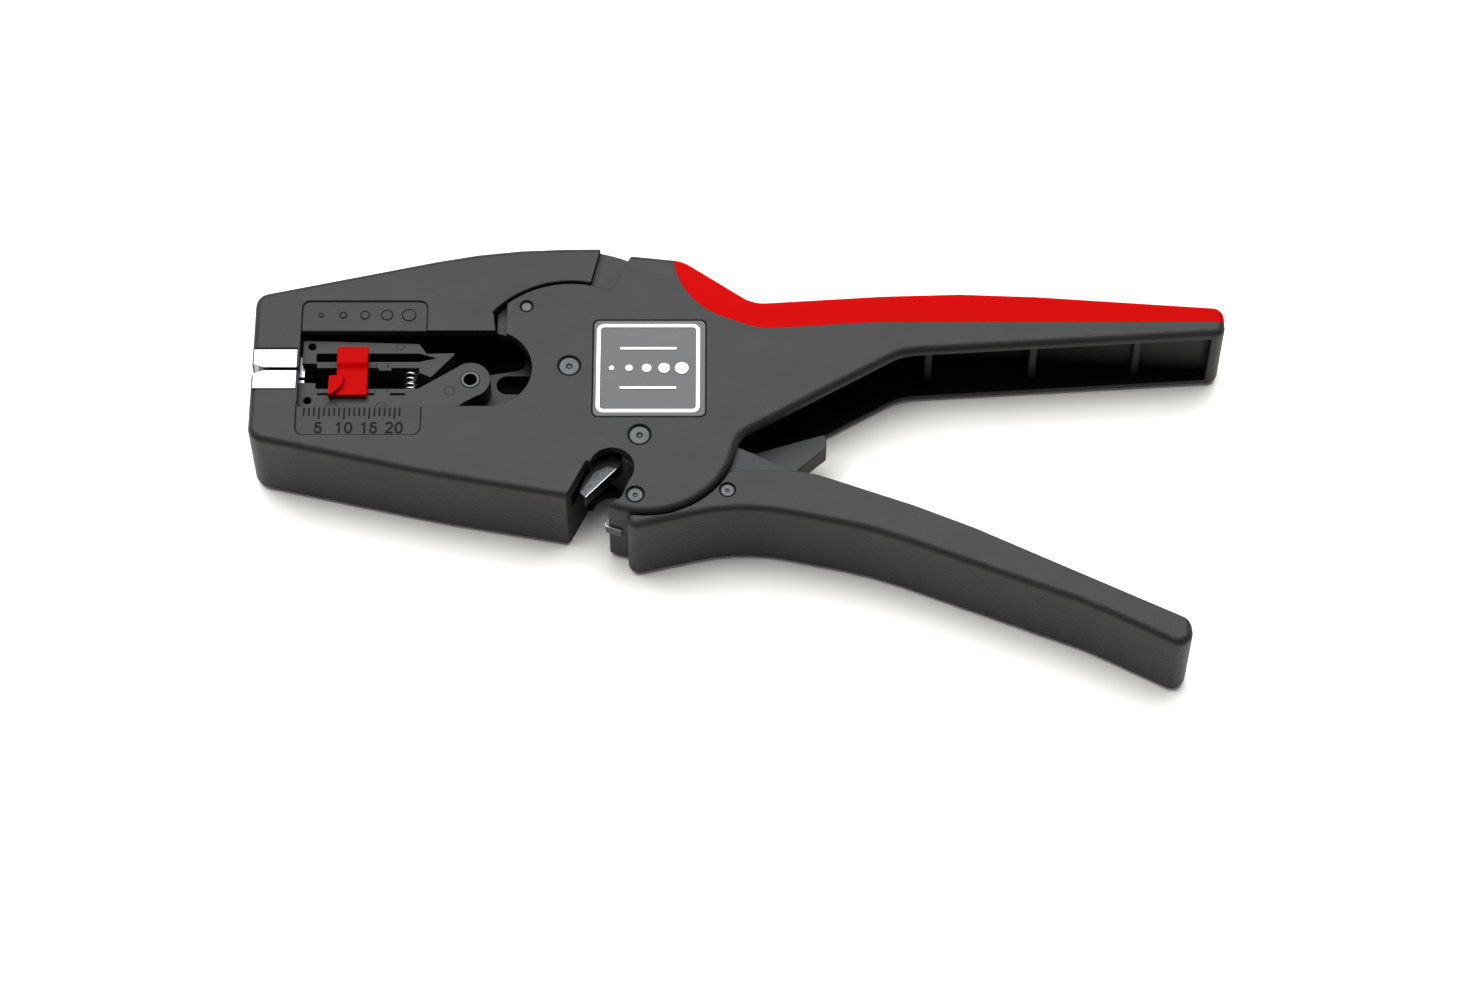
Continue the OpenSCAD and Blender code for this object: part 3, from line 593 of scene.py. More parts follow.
def declare(nodes: Sequence[str]) -> None:
    """Hides the CAD nodes that a piece stands for.

    Args:
        nodes: The CAD nodes that it replaces.
    """
    if nodes:
        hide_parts(*nodes)


@dataclass(frozen=True)
class Softening:
    """How a CAD copy's edges are rounded and shaded.

    Args:
        width: Width of the bevel on sharp edges, in mm.
        steps: Segments of the bevel.
        least: Smallest angle between faces that counts as an edge, in degrees.
        crease: Angle above which shading stays sharp, in degrees.
        share: Largest part of a face's width that one bevel takes.
        hollows: Whether the deep faces get painted shade in the finish.
    """

    width: float = 0.25
    steps: int = 2
    least: float = 35.0
    crease: float = 42.0
    share: float = 0.4
    hollows: bool = False


@dataclass(frozen=True)
class CadCopy:
    """A copy of one CAD node, with its flat faces joined and its edges softened.

    Args:
        node: Name of the node.
        how: How its edges are softened.
        weld: Distance up to which corners are joined, in mm.
        flat: Angle up to which neighbouring faces are joined, in degrees.
        joint_turn: Angle up to which one sharp edge runs on from another, in degrees.
        least_weight: Smallest share of the bevel's width that an edge gets.
        tries: How often a copy with folded faces is bevelled again.
        easing: Share of its width that a folding bevel keeps each time.
    """

    node: str
    how: Softening
    weld: float = 0.002
    flat: float = 0.5
    joint_turn: float = 40.0
    least_weight: float = 0.04
    tries: int = 6
    easing: float = 0.6

    def build(self, material: bpy.types.Material) -> bpy.types.Object:
        """Makes the copy.

        Args:
            material: Finish of the copy.

        Returns:
            The copy, not yet riding on a body.
        """
        bm = self.welded()
        chains = self.weigh(bm)
        piece = self.bevelled(bm, material)
        for _ in range(self.tries):
            if not self.ease(bm, chains, Folds().spots(piece.data)):
                break
            bpy.data.objects.remove(piece)
            piece = self.bevelled(bm, material)
        bm.free()
        smooth(piece.data, self.how.crease)
        normals = piece.modifiers.new("normals", "WEIGHTED_NORMAL")
        normals.keep_sharp = True
        normals.weight = 100
        normals.mode = "FACE_AREA"
        settle(piece)
        # Painted shade on the faces deep inside the piece, from rays cast off each face
        if self.how.hollows:
            Hollows().mark(piece.data)
        return piece

    def welded(self) -> bmesh.types.BMesh:
        """Joins the node's loose triangles.

        Returns:
            One closed mesh with whole flat faces.
        """
        bm = bmesh.new()
        bm.from_mesh(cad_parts[self.node].data)
        bmesh.ops.remove_doubles(bm, verts=bm.verts, dist=self.weld * MM)
        bmesh.ops.dissolve_degenerate(bm, edges=bm.edges, dist=self.weld * MM)
        bmesh.ops.dissolve_limit(
            bm, angle_limit=math.radians(self.flat), verts=bm.verts, edges=bm.edges,
            use_dissolve_boundaries=False)
        return bm

    def bevelled(self, bm: bmesh.types.BMesh, material: bpy.types.Material) -> bpy.types.Object:
        """Rounds the weighted edges.

        Args:
            bm: The welded mesh, which stays as it is.
            material: Finish of the copy.

        Returns:
            The rounded mesh as an object.
        """
        mesh = bpy.data.meshes.new(f"{self.node}_skin")
        bm.to_mesh(mesh)
        piece = object_of(f"{self.node}_skin", mesh, material)
        bevel = piece.modifiers.new("edges", "BEVEL")
        bevel.limit_method = "WEIGHT"
        bevel.width = self.how.width * MM
        bevel.segments = self.how.steps
        bevel.use_clamp_overlap = False
        bevel.miter_outer = "MITER_ARC"
        settle(piece)
        return piece

    def weigh(self, bm: bmesh.types.BMesh) -> list[Chain]:
        """Gives each sharp edge the bevel that its faces have room for.

        Args:
            bm: The welded mesh.

        Returns:
            The chains of sharp edges, each of one width.
        """
        layer = bm.edges.layers.float.new(BEVEL_WEIGHT)
        least = math.radians(self.how.least)
        sharp = {e for e in bm.edges if len(e.link_faces) == 2 and e.calc_face_angle(0.0) > least}
        room = {e: min(self.room(e, f) for f in e.link_faces) for e in sharp}
        chains = self.chains(sharp)
        for chain in chains:
            width = min(room[e] for e in chain) * self.how.share
            for e in chain:
                e[layer] = max(self.least_weight, min(1.0, width / (self.how.width * MM)))
        return chains

    @staticmethod
    def room(edge: bmesh.types.BMEdge, face: bmesh.types.BMFace) -> float:
        """Measures how far a face reaches inwards from one of its edges.

        Args:
            edge: The edge.
            face: The face beside it.

        Returns:
            The depth in metres up to the nearest corner that faces the edge.
        """
        a, b = (v.co for v in edge.verts)
        along = (b - a).normalized()
        inward = face.normal.cross(along)
        if inward.dot(face.calc_center_median() - a) < 0:
            inward = -inward
        length = (b - a).length
        best = math.inf
        for vert in face.verts:
            if vert in edge.verts:
                continue
            off = vert.co - a
            depth, reach = off.dot(inward), off.dot(along)
            if depth > 0 and -depth < reach < length + depth:
                best = min(best, depth)
        return best

    def chains(self, sharp: set[bmesh.types.BMEdge]) -> list[Chain]:
        """Groups the sharp edges that run on from one another without a corner.

        Args:
            sharp: All sharp edges.

        Returns:
            The groups, which together hold every sharp edge once.
        """
        left = set(sharp)
        found = []
        while left:
            chain = [left.pop()]
            for edge in chain:
                for vert in edge.verts:
                    others = [e for e in vert.link_edges if e in sharp and e is not edge]
                    if len(others) != 1 or others[0] not in left:
                        continue
                    near = others[0].other_vert(vert).co - vert.co
                    back = vert.co - edge.other_vert(vert).co
                    if near.angle(back, math.pi) < math.radians(self.joint_turn):
                        left.discard(others[0])
                        chain.append(others[0])
            found.append(chain)
        return found

    def ease(self, bm: bmesh.types.BMesh, chains: list[Chain], spots: list[Vector]) -> bool:
        """Narrows the bevels that fold a face over itself.

        Args:
            bm: The welded mesh with its weights.
            chains: The chains of sharp edges.
            spots: Where faces fold.

        Returns:
            Whether any bevel lay near a spot and was narrowed.
        """
        layer = bm.edges.layers.float[BEVEL_WEIGHT]
        reach = 2 * self.how.width * MM
        eased = False
        for chain in chains:
            if any(self.apart(edge, spot) < reach for edge in chain for spot in spots):
                eased = True
                for edge in chain:
                    edge[layer] *= self.easing
        return eased

    @staticmethod
    def apart(edge: bmesh.types.BMEdge, spot: Vector) -> float:
        """Measures from a spot to an edge.

        Args:
            edge: The edge.
            spot: The spot.

        Returns:
            The distance in metres.
        """
        a, b = (v.co for v in edge.verts)
        near, share = intersect_point_line(spot, a, b)
        return (spot - (a if share < 0 else b if share > 1 else near)).length


@dataclass(frozen=True)
class Folds:
    """Finds where a face's outline crosses itself so that its filling goes astray.

    Args:
        slack: Area by which the filling may differ from the outline's own, in square mm.
        sides: Fewest corners of a face that is looked at.
    """

    slack: float = 0.2
    sides: int = 6

    def spots(self, mesh: bpy.types.Mesh) -> list[Vector]:
        """Looks at every face of a mesh.

        Args:
            mesh: The mesh.

        Returns:
            The corners next to each crossing of a badly filled face.
        """
        mesh.calc_loop_triangles()
        filled = [0.0] * len(mesh.polygons)
        for triangle in mesh.loop_triangles:
            filled[triangle.polygon_index] += triangle.area
        found = []
        for polygon in mesh.polygons:
            if len(polygon.vertices) < self.sides:
                continue
            corners = [mesh.vertices[i].co for i in polygon.vertices]
            if abs(filled[polygon.index] - self.area(corners)) > self.slack * MM * MM:
                found += self.crossings(corners, polygon.normal)
        return found

    @staticmethod
    def area(corners: Sequence[Vector]) -> float:
        """Works out the area inside a flat outline.

        Args:
            corners: Its corners in order.

        Returns:
            The area in square metres.
        """
        twice = Vector((0.0, 0.0, 0.0))
        for i, corner in enumerate(corners):
            twice += corners[i - 1].cross(corner)
        return twice.length / 2

    @staticmethod
    def crossings(corners: Sequence[Vector], normal: Vector) -> list[Vector]:
        """Finds the sides of a flat outline that cross.

        Args:
            corners: The outline's corners in order.
            normal: Normal of its plane.

        Returns:
            The first corner of every side that another side crosses.
        """
        flat = normal.to_track_quat("Z", "Y").inverted()
        points = [(flat @ corner).xy for corner in corners]
        count = len(points)
        found = []
        for i in range(count):
            for j in range(i + 2, count - (i == 0)):
                if intersect_line_line_2d(points[i], points[i + 1], points[j], points[(j + 1) % count]):
                    found += [corners[i], corners[j]]
        return found


@dataclass(frozen=True)
class Hollows:
    """Paints shade into the faces that lie deep inside a piece: the share of looks from each face that the
    piece's own walls stop.

    Args:
        rays: Directions looked in from each face.
        reach: How far off a facing wall still counts as closing a face in, in mm.
        lift: How far over a face the looks begin, in mm.
        start: Closed share at which a face begins to count as deep.
        full: Closed share at which it is wholly deep.
    """

    rays: int = 32
    reach: float = 40.0
    lift: float = 0.05
    start: float = 0.36
    full: float = 0.56

    def mark(self, mesh: bpy.types.Mesh) -> None:
        """Writes each face's painted shade, how deep it lies from 0 to 1, as an attribute.

        Args:
            mesh: The mesh that is marked.
        """
        tree = BVHTree.FromPolygons([v.co for v in mesh.vertices], [p.vertices for p in mesh.polygons])
        looks = self.looks()
        layer = mesh.attributes.new(PAINTED_SHADE_ATTRIBUTE, "FLOAT", "FACE")
        for polygon in mesh.polygons:
            basis = polygon.normal.to_track_quat("Z", "Y")
            origin = Vector(polygon.center) + polygon.normal * self.lift * MM
            hits = [tree.ray_cast(origin, basis @ look, self.reach * MM)[0] for look in looks]
            closed = sum(hit is not None for hit in hits) / self.rays
            share = (closed - self.start) / (self.full - self.start)
            layer.data[polygon.index].value = max(0.0, min(1.0, share))

    def looks(self) -> list[Vector]:
        """Spreads directions evenly over the half globe round Z.

        Returns:
            The directions, of length 1.
        """
        turn = math.pi * (3 - math.sqrt(5))
        found = []
        for i in range(self.rays):
            rise = math.sqrt((i + 0.5) / self.rays)
            flat = math.sqrt(1 - rise * rise)
            found.append(Vector((flat * math.cos(i * turn), flat * math.sin(i * turn), rise)))
        return found


def prism(bm: bmesh.types.BMesh, outline: Sequence[Pair], low: float, high: float) -> None:
    """Adds a closed prism to a mesh.

    Args:
        bm: The mesh.
        outline: Drawing points of its outline, in mm.
        low: Its lowest height, in mm.
        high: Its greatest height, in mm.
    """
    rows = [[bm.verts.new(DATUM.at(x, y, z)) for x, y in outline] for z in (low, high)]
    bm.faces.new(rows[0])
    bm.faces.new(rows[1])
    for i in range(len(outline)):
        j = (i + 1) % len(outline)
        bm.faces.new((rows[0][i], rows[0][j], rows[1][j], rows[1][i]))


def stroke(bm: bmesh.types.BMesh, line: Sequence[Pair], width: float, low: float, high: float,
           looped: bool = False) -> None:
    """Adds a flat line of even width to a mesh, as a closed body.

    Args:
        bm: The mesh.
        line: Drawing points that the line runs through, in mm.
        width: Its width, in mm.
        low: Its lowest height, in mm.
        high: Its greatest height, in mm.
        looped: Whether its ends meet.
    """
    points = [Vector(p) for p in line]
    count = len(points)
    rows = []
    for i, point in enumerate(points):
        ways = []
        if looped or i:
            ways.append((point - points[i - 1]).normalized())
        if looped or i < count - 1:
            ways.append((points[(i + 1) % count] - point).normalized())
        across = [Vector((-way.y, way.x)) for way in ways]
        side = sum(across, Vector((0, 0))).normalized()
        side *= width / 2 / max(LEAST_MITRE, side.dot(across[0]))
        left, right = point + side, point - side
        section = ((left, low), (right, low), (right, high), (left, high))
        rows.append([bm.verts.new(DATUM.at(*corner, z)) for corner, z in section])
    for i in range(count if looped else count - 1):
        a, b = rows[i], rows[(i + 1) % count]
        for k in range(4):
            bm.faces.new((a[k], a[(k + 1) % 4], b[(k + 1) % 4], b[k]))
    if not looped:
        bm.faces.new(rows[0])
        bm.faces.new(rows[-1])


def solid(name: str, bm: bmesh.types.BMesh, material: bpy.types.Material) -> bpy.types.Object:
    """Closes a built mesh as an object whose faces point outwards.

    Args:
        name: Name of the object.
        bm: The mesh, which is freed.
        material: Its finish.

    Returns:
        The object, not yet riding on a body.
    """
    bmesh.ops.recalc_face_normals(bm, faces=bm.faces)
    mesh = bpy.data.meshes.new(name)
    bm.to_mesh(mesh)
    bm.free()
    smooth(mesh, CREASE)
    return object_of(name, mesh, material)


def smooth(mesh: bpy.types.Mesh, crease: float) -> None:
    """Shades a mesh smooth up to an angle in degrees."""
    mesh.shade_smooth()
    mesh.set_sharp_from_angle(angle=math.radians(crease))


# Patterns


class PatternTree(NodeGraph):
    """A Geometry Nodes tree with named inputs."""

    def __init__(self, name: str, inputs: dict[str, str]) -> None:
        """Starts the tree.

        Args:
            name: Its name.
            inputs: Name of each input and Blender's type of its socket.
        """
        super().__init__(bpy.data.node_groups.new(name, "GeometryNodeTree"))
        self.tree.interface.new_socket("Geometry", in_out="OUTPUT", socket_type="NodeSocketGeometry")
        self.keys = {
            label: self.tree.interface.new_socket(label, in_out="INPUT", socket_type=kind).identifier
            for label, kind in {**inputs, "Material": "NodeSocketMaterial"}.items()}
        self.entry = self.tree.nodes.new("NodeGroupInput")

    def given(self, label: str) -> bpy.types.NodeSocket:
        """The socket that carries a named input."""
        return self.find(self.entry.outputs, self.keys[label])

    def end(self, geometry: bpy.types.NodeSocket) -> None:
        """Ends the tree in real geometry of one material.

        Args:
            geometry: What the tree has built.
        """
        real = self.add("GeometryNodeRealizeInstances", {"Geometry": geometry})
        made = self.add("GeometryNodeSetMaterial", {"Geometry": real, "Material": self.given("Material")})
        self.add("NodeGroupOutput", {"Geometry": made})

    def run(self, name: str, material: bpy.types.Material, values: dict[str, object],
            crease: float = CREASE) -> bpy.types.Object:
        """Makes one piece from the tree.

        Args:
            name: Name of the piece.
            material: Its finish.
            values: Value of each named input.
            crease: Angle above which its shading stays sharp, in degrees.

        Returns:
            The piece as a plain mesh in its place.
        """
        piece = object_of(name, bpy.data.meshes.new(name), material)
        modifier = piece.modifiers.new(name, "NODES")
        modifier.node_group = self.tree
        for label, value in {**values, "Material": material}.items():
            modifier[self.keys[label]] = value
        settle(piece)
        smooth(piece.data, crease)
        return piece


class RuleTree(PatternTree):
    """Upright strokes along X, some of them longer at an even spacing."""

    def __init__(self) -> None:
        """Builds the tree."""
        super().__init__("rule_strokes", {
            "Count": "NodeSocketInt", "First": "NodeSocketInt", "Step": "NodeSocketFloat",
            "Start": "NodeSocketVector", "Width": "NodeSocketFloat", "Height": "NodeSocketFloat",
            "Short": "NodeSocketFloat", "Long": "NodeSocketFloat", "Every": "NodeSocketInt"})
        step = self.add("ShaderNodeCombineXYZ", {"X": self.given("Step")})
        line = self.add("GeometryNodeMeshLine", {
            "Count": self.given("Count"), "Start Location": self.given("Start"), "Offset": step})
        size = self.add("ShaderNodeCombineXYZ", {
            "X": self.given("Width"), "Y": 1.0, "Z": self.given("Height")})
        block = self.add("GeometryNodeMeshCube", {"Size": size})
        block = self.add("GeometryNodeTransform", {"Geometry": block, "Translation": (0.0, -0.5, 0.0)})
        number = self.add("ShaderNodeMath", {
            0: self.add("GeometryNodeInputIndex"), 1: self.given("First")}, operation="ADD")
        rest = self.add("ShaderNodeMath", {0: number, 1: self.given("Every")}, operation="MODULO")
        short = self.add("ShaderNodeMath", {0: rest, 1: 0.5}, operation="GREATER_THAN")
        length = self.add("ShaderNodeMapRange", {
            "Value": short, "To Min": self.given("Long"), "To Max": self.given("Short")})
        scale = self.add("ShaderNodeCombineXYZ", {"X": 1.0, "Y": length, "Z": 1.0})
        self.end(self.add("GeometryNodeInstanceOnPoints", {
            "Points": line, "Instance": block, "Scale": scale}))


class StudTree(PatternTree):
    """Round studs in a row along X, each larger than the one before."""

    def __init__(self) -> None:
        """Builds the tree."""
        super().__init__("growing_studs", {
            "Count": "NodeSocketInt", "Sides": "NodeSocketInt", "Step": "NodeSocketFloat",
            "Start": "NodeSocketVector", "Radius": "NodeSocketFloat", "Growth": "NodeSocketFloat",
            "Height": "NodeSocketFloat"})
        step = self.add("ShaderNodeCombineXYZ", {"X": self.given("Step")})
        line = self.add("GeometryNodeMeshLine", {
            "Count": self.given("Count"), "Start Location": self.given("Start"), "Offset": step})
        stud = self.add("GeometryNodeMeshCylinder", {
            "Vertices": self.given("Sides"), "Radius": self.given("Radius"), "Depth": self.given("Height")})
        grown = self.add("ShaderNodeMath", {
            0: self.add("GeometryNodeInputIndex"), 1: self.given("Growth"), 2: 1.0}, operation="MULTIPLY_ADD")
        scale = self.add("ShaderNodeCombineXYZ", {"X": grown, "Y": grown, "Z": 1.0})
        self.end(self.add("GeometryNodeInstanceOnPoints", {"Points": line, "Instance": stud, "Scale": scale}))


class ToothTree(PatternTree):
    """Upright ridges of triangular section in a row along X, all with their tip towards -Y."""

    def __init__(self) -> None:
        """Builds the tree."""
        super().__init__("ridges", {
            "Count": "NodeSocketInt", "Step": "NodeSocketFloat", "Start": "NodeSocketVector",
            "Half": "NodeSocketFloat", "Height": "NodeSocketFloat"})
        step = self.add("ShaderNodeCombineXYZ", {"X": self.given("Step")})
        line = self.add("GeometryNodeMeshLine", {
            "Count": self.given("Count"), "Start Location": self.given("Start"), "Offset": step})
        tooth = self.add("GeometryNodeMeshCylinder", {
            "Vertices": 3, "Radius": self.given("Half"), "Depth": self.given("Height")})
        turned = self.add("GeometryNodeTransform", {"Geometry": tooth, "Rotation": (0.0, 0.0, -math.pi / 2)})
        self.end(self.add("GeometryNodeInstanceOnPoints", {"Points": line, "Instance": turned}))


class CoilTree(PatternTree):
    """A compression spring along Z whose end turns lie close."""

    def __init__(self, turn_sides: int = 40, wire_sides: int = 12) -> None:
        """Builds the tree.

        Args:
            turn_sides: Sides of one turn.
            wire_sides: Sides of the wire's section.
        """
        super().__init__("coil", {
            "Turns": "NodeSocketFloat", "Radius": "NodeSocketFloat", "Wire": "NodeSocketFloat",
            "Length": "NodeSocketFloat", "Place": "NodeSocketVector", "Turn": "NodeSocketRotation"})
        spiral = self.add("GeometryNodeCurveSpiral", {
            "Resolution": turn_sides, "Rotations": self.given("Turns"), "Start Radius": self.given("Radius"),
            "End Radius": self.given("Radius"), "Height": 0.0})
        part = self.add("GeometryNodeSplineParameter", output="Factor")
        eased = self.add("ShaderNodeMapRange", {"Value": part}, interpolation_type="SMOOTHSTEP")
        both = self.add("ShaderNodeMath", {0: part, 1: eased}, operation="ADD")
        wire = self.given("Wire")
        room = self.add("ShaderNodeMath", {
            0: wire, 1: -2.0, 2: self.given("Length")}, operation="MULTIPLY_ADD")
        half = self.add("ShaderNodeMath", {0: room, 1: 0.5}, operation="MULTIPLY")
        rise = self.add("ShaderNodeMath", {0: both, 1: half, 2: wire}, operation="MULTIPLY_ADD")
        lifted = self.add("GeometryNodeSetPosition", {
            "Geometry": spiral, "Offset": self.add("ShaderNodeCombineXYZ", {"Z": rise})})
        profile = self.add("GeometryNodeCurvePrimitiveCircle", {"Resolution": wire_sides, "Radius": wire})
        tube = self.add("GeometryNodeCurveToMesh", {
            "Curve": lifted, "Profile Curve": profile, "Fill Caps": True})
        self.end(self.add("GeometryNodeTransform", {
            "Geometry": tube, "Translation": self.given("Place"), "Rotation": self.given("Turn")}))


# The tool


@dataclass(frozen=True)
class Skin:
    """How one CAD node is shown.

    Args:
        node: Name of the node.
        finish: Its finish.
        body: The body that it moves with.
        slot: The record's material slot.
        how: How its edges are softened.
    """

    node: str
    finish: Finish
    body: Body
    slot: Slot
    how: Softening = Softening()


@dataclass(frozen=True)
class Skins:
    """The softened copies of the CAD nodes.

    Args:
        palette: The finishes.
        skins: How each node is shown.
    """

    palette: Palette
    skins: tuple[Skin, ...] = (
        Skin("main_housing", Finish.BODY, Body.HOUSING, Slot.BODY, Softening(0.35, hollows=True)),
        Skin("grip_inlay", Finish.RED, Body.HOUSING, Slot.RED, Softening(0.2)),
        Skin("label_plate", Finish.LABEL, Body.HOUSING, Slot.LABEL, Softening(0.2)),
        Skin("lower_gripper", Finish.GRIPPER, Body.HOUSING, Slot.POLISHED, Softening(0.14)),
        Skin("fixed_cutter_blade", Finish.BEVEL, Body.HOUSING, Slot.BLADE, Softening(0.05)),
        Skin("jaw_pivot_pin", Finish.PIN, Body.HOUSING, Slot.PIN, Softening(0.15)),
        Skin("handle_pivot_pin", Finish.PIN, Body.HOUSING, Slot.PIN, Softening(0.15)),
        Skin("cutter_pin", Finish.PIN, Body.HOUSING, Slot.PIN, Softening(0.15)),
        Skin("jaw_stop_pins", Finish.PIN, Body.HOUSING, Slot.PIN, Softening(0.1)),
        Skin("upper_jaw", Finish.BODY, Body.JAW, Slot.BODY, Softening(0.35, hollows=True)),
        Skin("upper_gripper", Finish.GRIPPER, Body.JAW, Slot.POLISHED, Softening(0.14)),
        Skin("inner_lever", Finish.LEVER, Body.HANDLE, Slot.LEVER, Softening(0.3, hollows=True)),
        Skin("moving_cutter_blade", Finish.CUTTER, Body.HANDLE, Slot.BLADE, Softening(0.04)),
        Skin("cutter_rivets", Finish.PIN, Body.HANDLE, Slot.PIN, Softening(0.1)),
        Skin("drive_pin", Finish.PIN, Body.HANDLE, Slot.PIN, Softening(0.1)),
        Skin("handle_pin", Finish.PIN, Body.HANDLE, Slot.PIN, Softening(0.1)),
        Skin("handle_cover", Finish.BODY, Body.HANDLE, Slot.BODY, Softening(0.35, hollows=True)),
        Skin("rocker", Finish.SHEET, Body.ROCKER, Slot.SHEET, Softening(0.15)),
        Skin("yoke_pin", Finish.PIN, Body.ROCKER, Slot.PIN, Softening(0.1)),
        Skin("drawbar", Finish.SHEET, Body.CARRIAGE, Slot.SHEET, Softening(0.15)),
        Skin("blade_arm_pin", Finish.PIN, Body.CARRIAGE, Slot.PIN, Softening(0.1)),
        Skin("upper_blade_arm", Finish.ARM, Body.UPPER_ARM, Slot.ARM, Softening(0.12, hollows=True)),
        Skin("upper_blade", Finish.BLADE, Body.UPPER_ARM, Slot.BLADE, Softening(0.04)),
        Skin("lower_blade_arm", Finish.ARM, Body.LOWER_ARM, Slot.ARM, Softening(0.12, hollows=True)),
        Skin("lower_blade", Finish.BLADE, Body.LOWER_ARM, Slot.BLADE, Softening(0.04)),
        Skin("length_stop", Finish.STOP, Body.STOP, Slot.STOP, Softening(0.15, steps=3)),
    )

    def build(self) -> None:
        """Makes and places every copy."""
        for skin in self.skins:
            piece = CadCopy(skin.node, skin.how).build(self.palette[skin.finish])
            place(piece, skin.body, skin.slot, [skin.node])


@dataclass(frozen=True)
class Numeral:
    """One digit as a single line in a field that is one wide and one high.

    Args:
        line: The points that the line runs through.
        looped: Whether its ends meet.
    """

    line: tuple[Pair, ...]
    looped: bool = False


NUMERALS = {
    "0": Numeral(arc((0.5, 0.5), (0.46, 0.47), 0.0, 18.0, 20), looped=True),
    "1": Numeral(((0.18, 0.76), (0.56, 0.97), (0.56, 0.0))),
    "2": Numeral((*arc((0.5, 0.72), (0.42, 0.26), 165.0, -21.0, 10), (0.06, 0.06), (0.98, 0.06))),
    "5": Numeral(((0.9, 0.95), (0.2, 0.95), (0.14, 0.55), *arc((0.46, 0.33), (0.44, 0.3), 112.0, -27.0, 12))),
}


@dataclass(frozen=True)
class ScaleRule:
    """The strip length scale under the window, 2 to 21 mm, in the sunk field of the body.

    Args:
        palette: The finishes.
        zero: X of the scale's zero in the drawing, in mm.
        top: Y where the strokes begin, in mm.
        floor: Height of the sunk field, in mm.
        span: First and last stroke, in mm.
        short: Length of a plain stroke, in mm.
        long: Length of a numbered stroke, in mm.
        line: Width of a stroke, in mm.
        numbered: Spacing of the numbered strokes, in strokes.
        numeral: Width and height of a digit, in mm.
        numeral_pitch: Spacing of a number's digits over their width.
        numeral_low: Y of the digits' foot, in mm.
        numeral_line: Width of the digits' lines, in mm.
        proud: How far the marks rise out of the field, in mm.
    """

    palette: Palette
    zero: float = -68.6
    top: float = 6.3
    floor: float = DATUM.floor
    span: tuple[int, int] = (2, 21)
    short: float = 1.9
    long: float = 2.6
    line: float = 0.36
    numbered: int = 5
    numeral: Pair = (1.4, 2.45)
    numeral_pitch: float = 1.35
    numeral_low: float = 0.45
    numeral_line: float = 0.42
    proud: float = 0.06

    def build(self) -> None:
        """Makes the strokes and the numbers."""
        first, last = self.span
        start = DATUM.at(self.zero + first, self.top, self.floor)
        strokes = RuleTree().run("scale_strokes", self.palette[Finish.MARK], {
            "Count": last - first + 1, "First": first, "Step": MM, "Start": start, "Width": self.line * MM,
            "Height": 2 * self.proud * MM, "Short": self.short * MM, "Long": self.long * MM,
            "Every": self.numbered})
        place(strokes, Body.HOUSING, Slot.BODY)
        bm = bmesh.new()
        for value in range(self.numbered, last, self.numbered):
            self.write(bm, str(value), self.zero + value)
        place(solid("scale_numerals", bm, self.palette[Finish.MARK]), Body.HOUSING, Slot.BODY)

    def write(self, bm: bmesh.types.BMesh, digits: str, x: float) -> None:
        """Adds a number to a mesh.

        Args:
            bm: The mesh.
            digits: The number.
            x: X of its middle, in mm.
        """
        width, height = self.numeral
        pitch = width * self.numeral_pitch
        left = x - (len(digits) * pitch - (pitch - width)) / 2
        for i, digit in enumerate(digits):
            numeral = NUMERALS[digit]
            points = [(left + i * pitch + u * width, self.numeral_low + v * height) for u, v in numeral.line]
            stroke(bm, points, self.numeral_line, self.floor - self.proud, self.floor + self.proud,
                   numeral.looped)


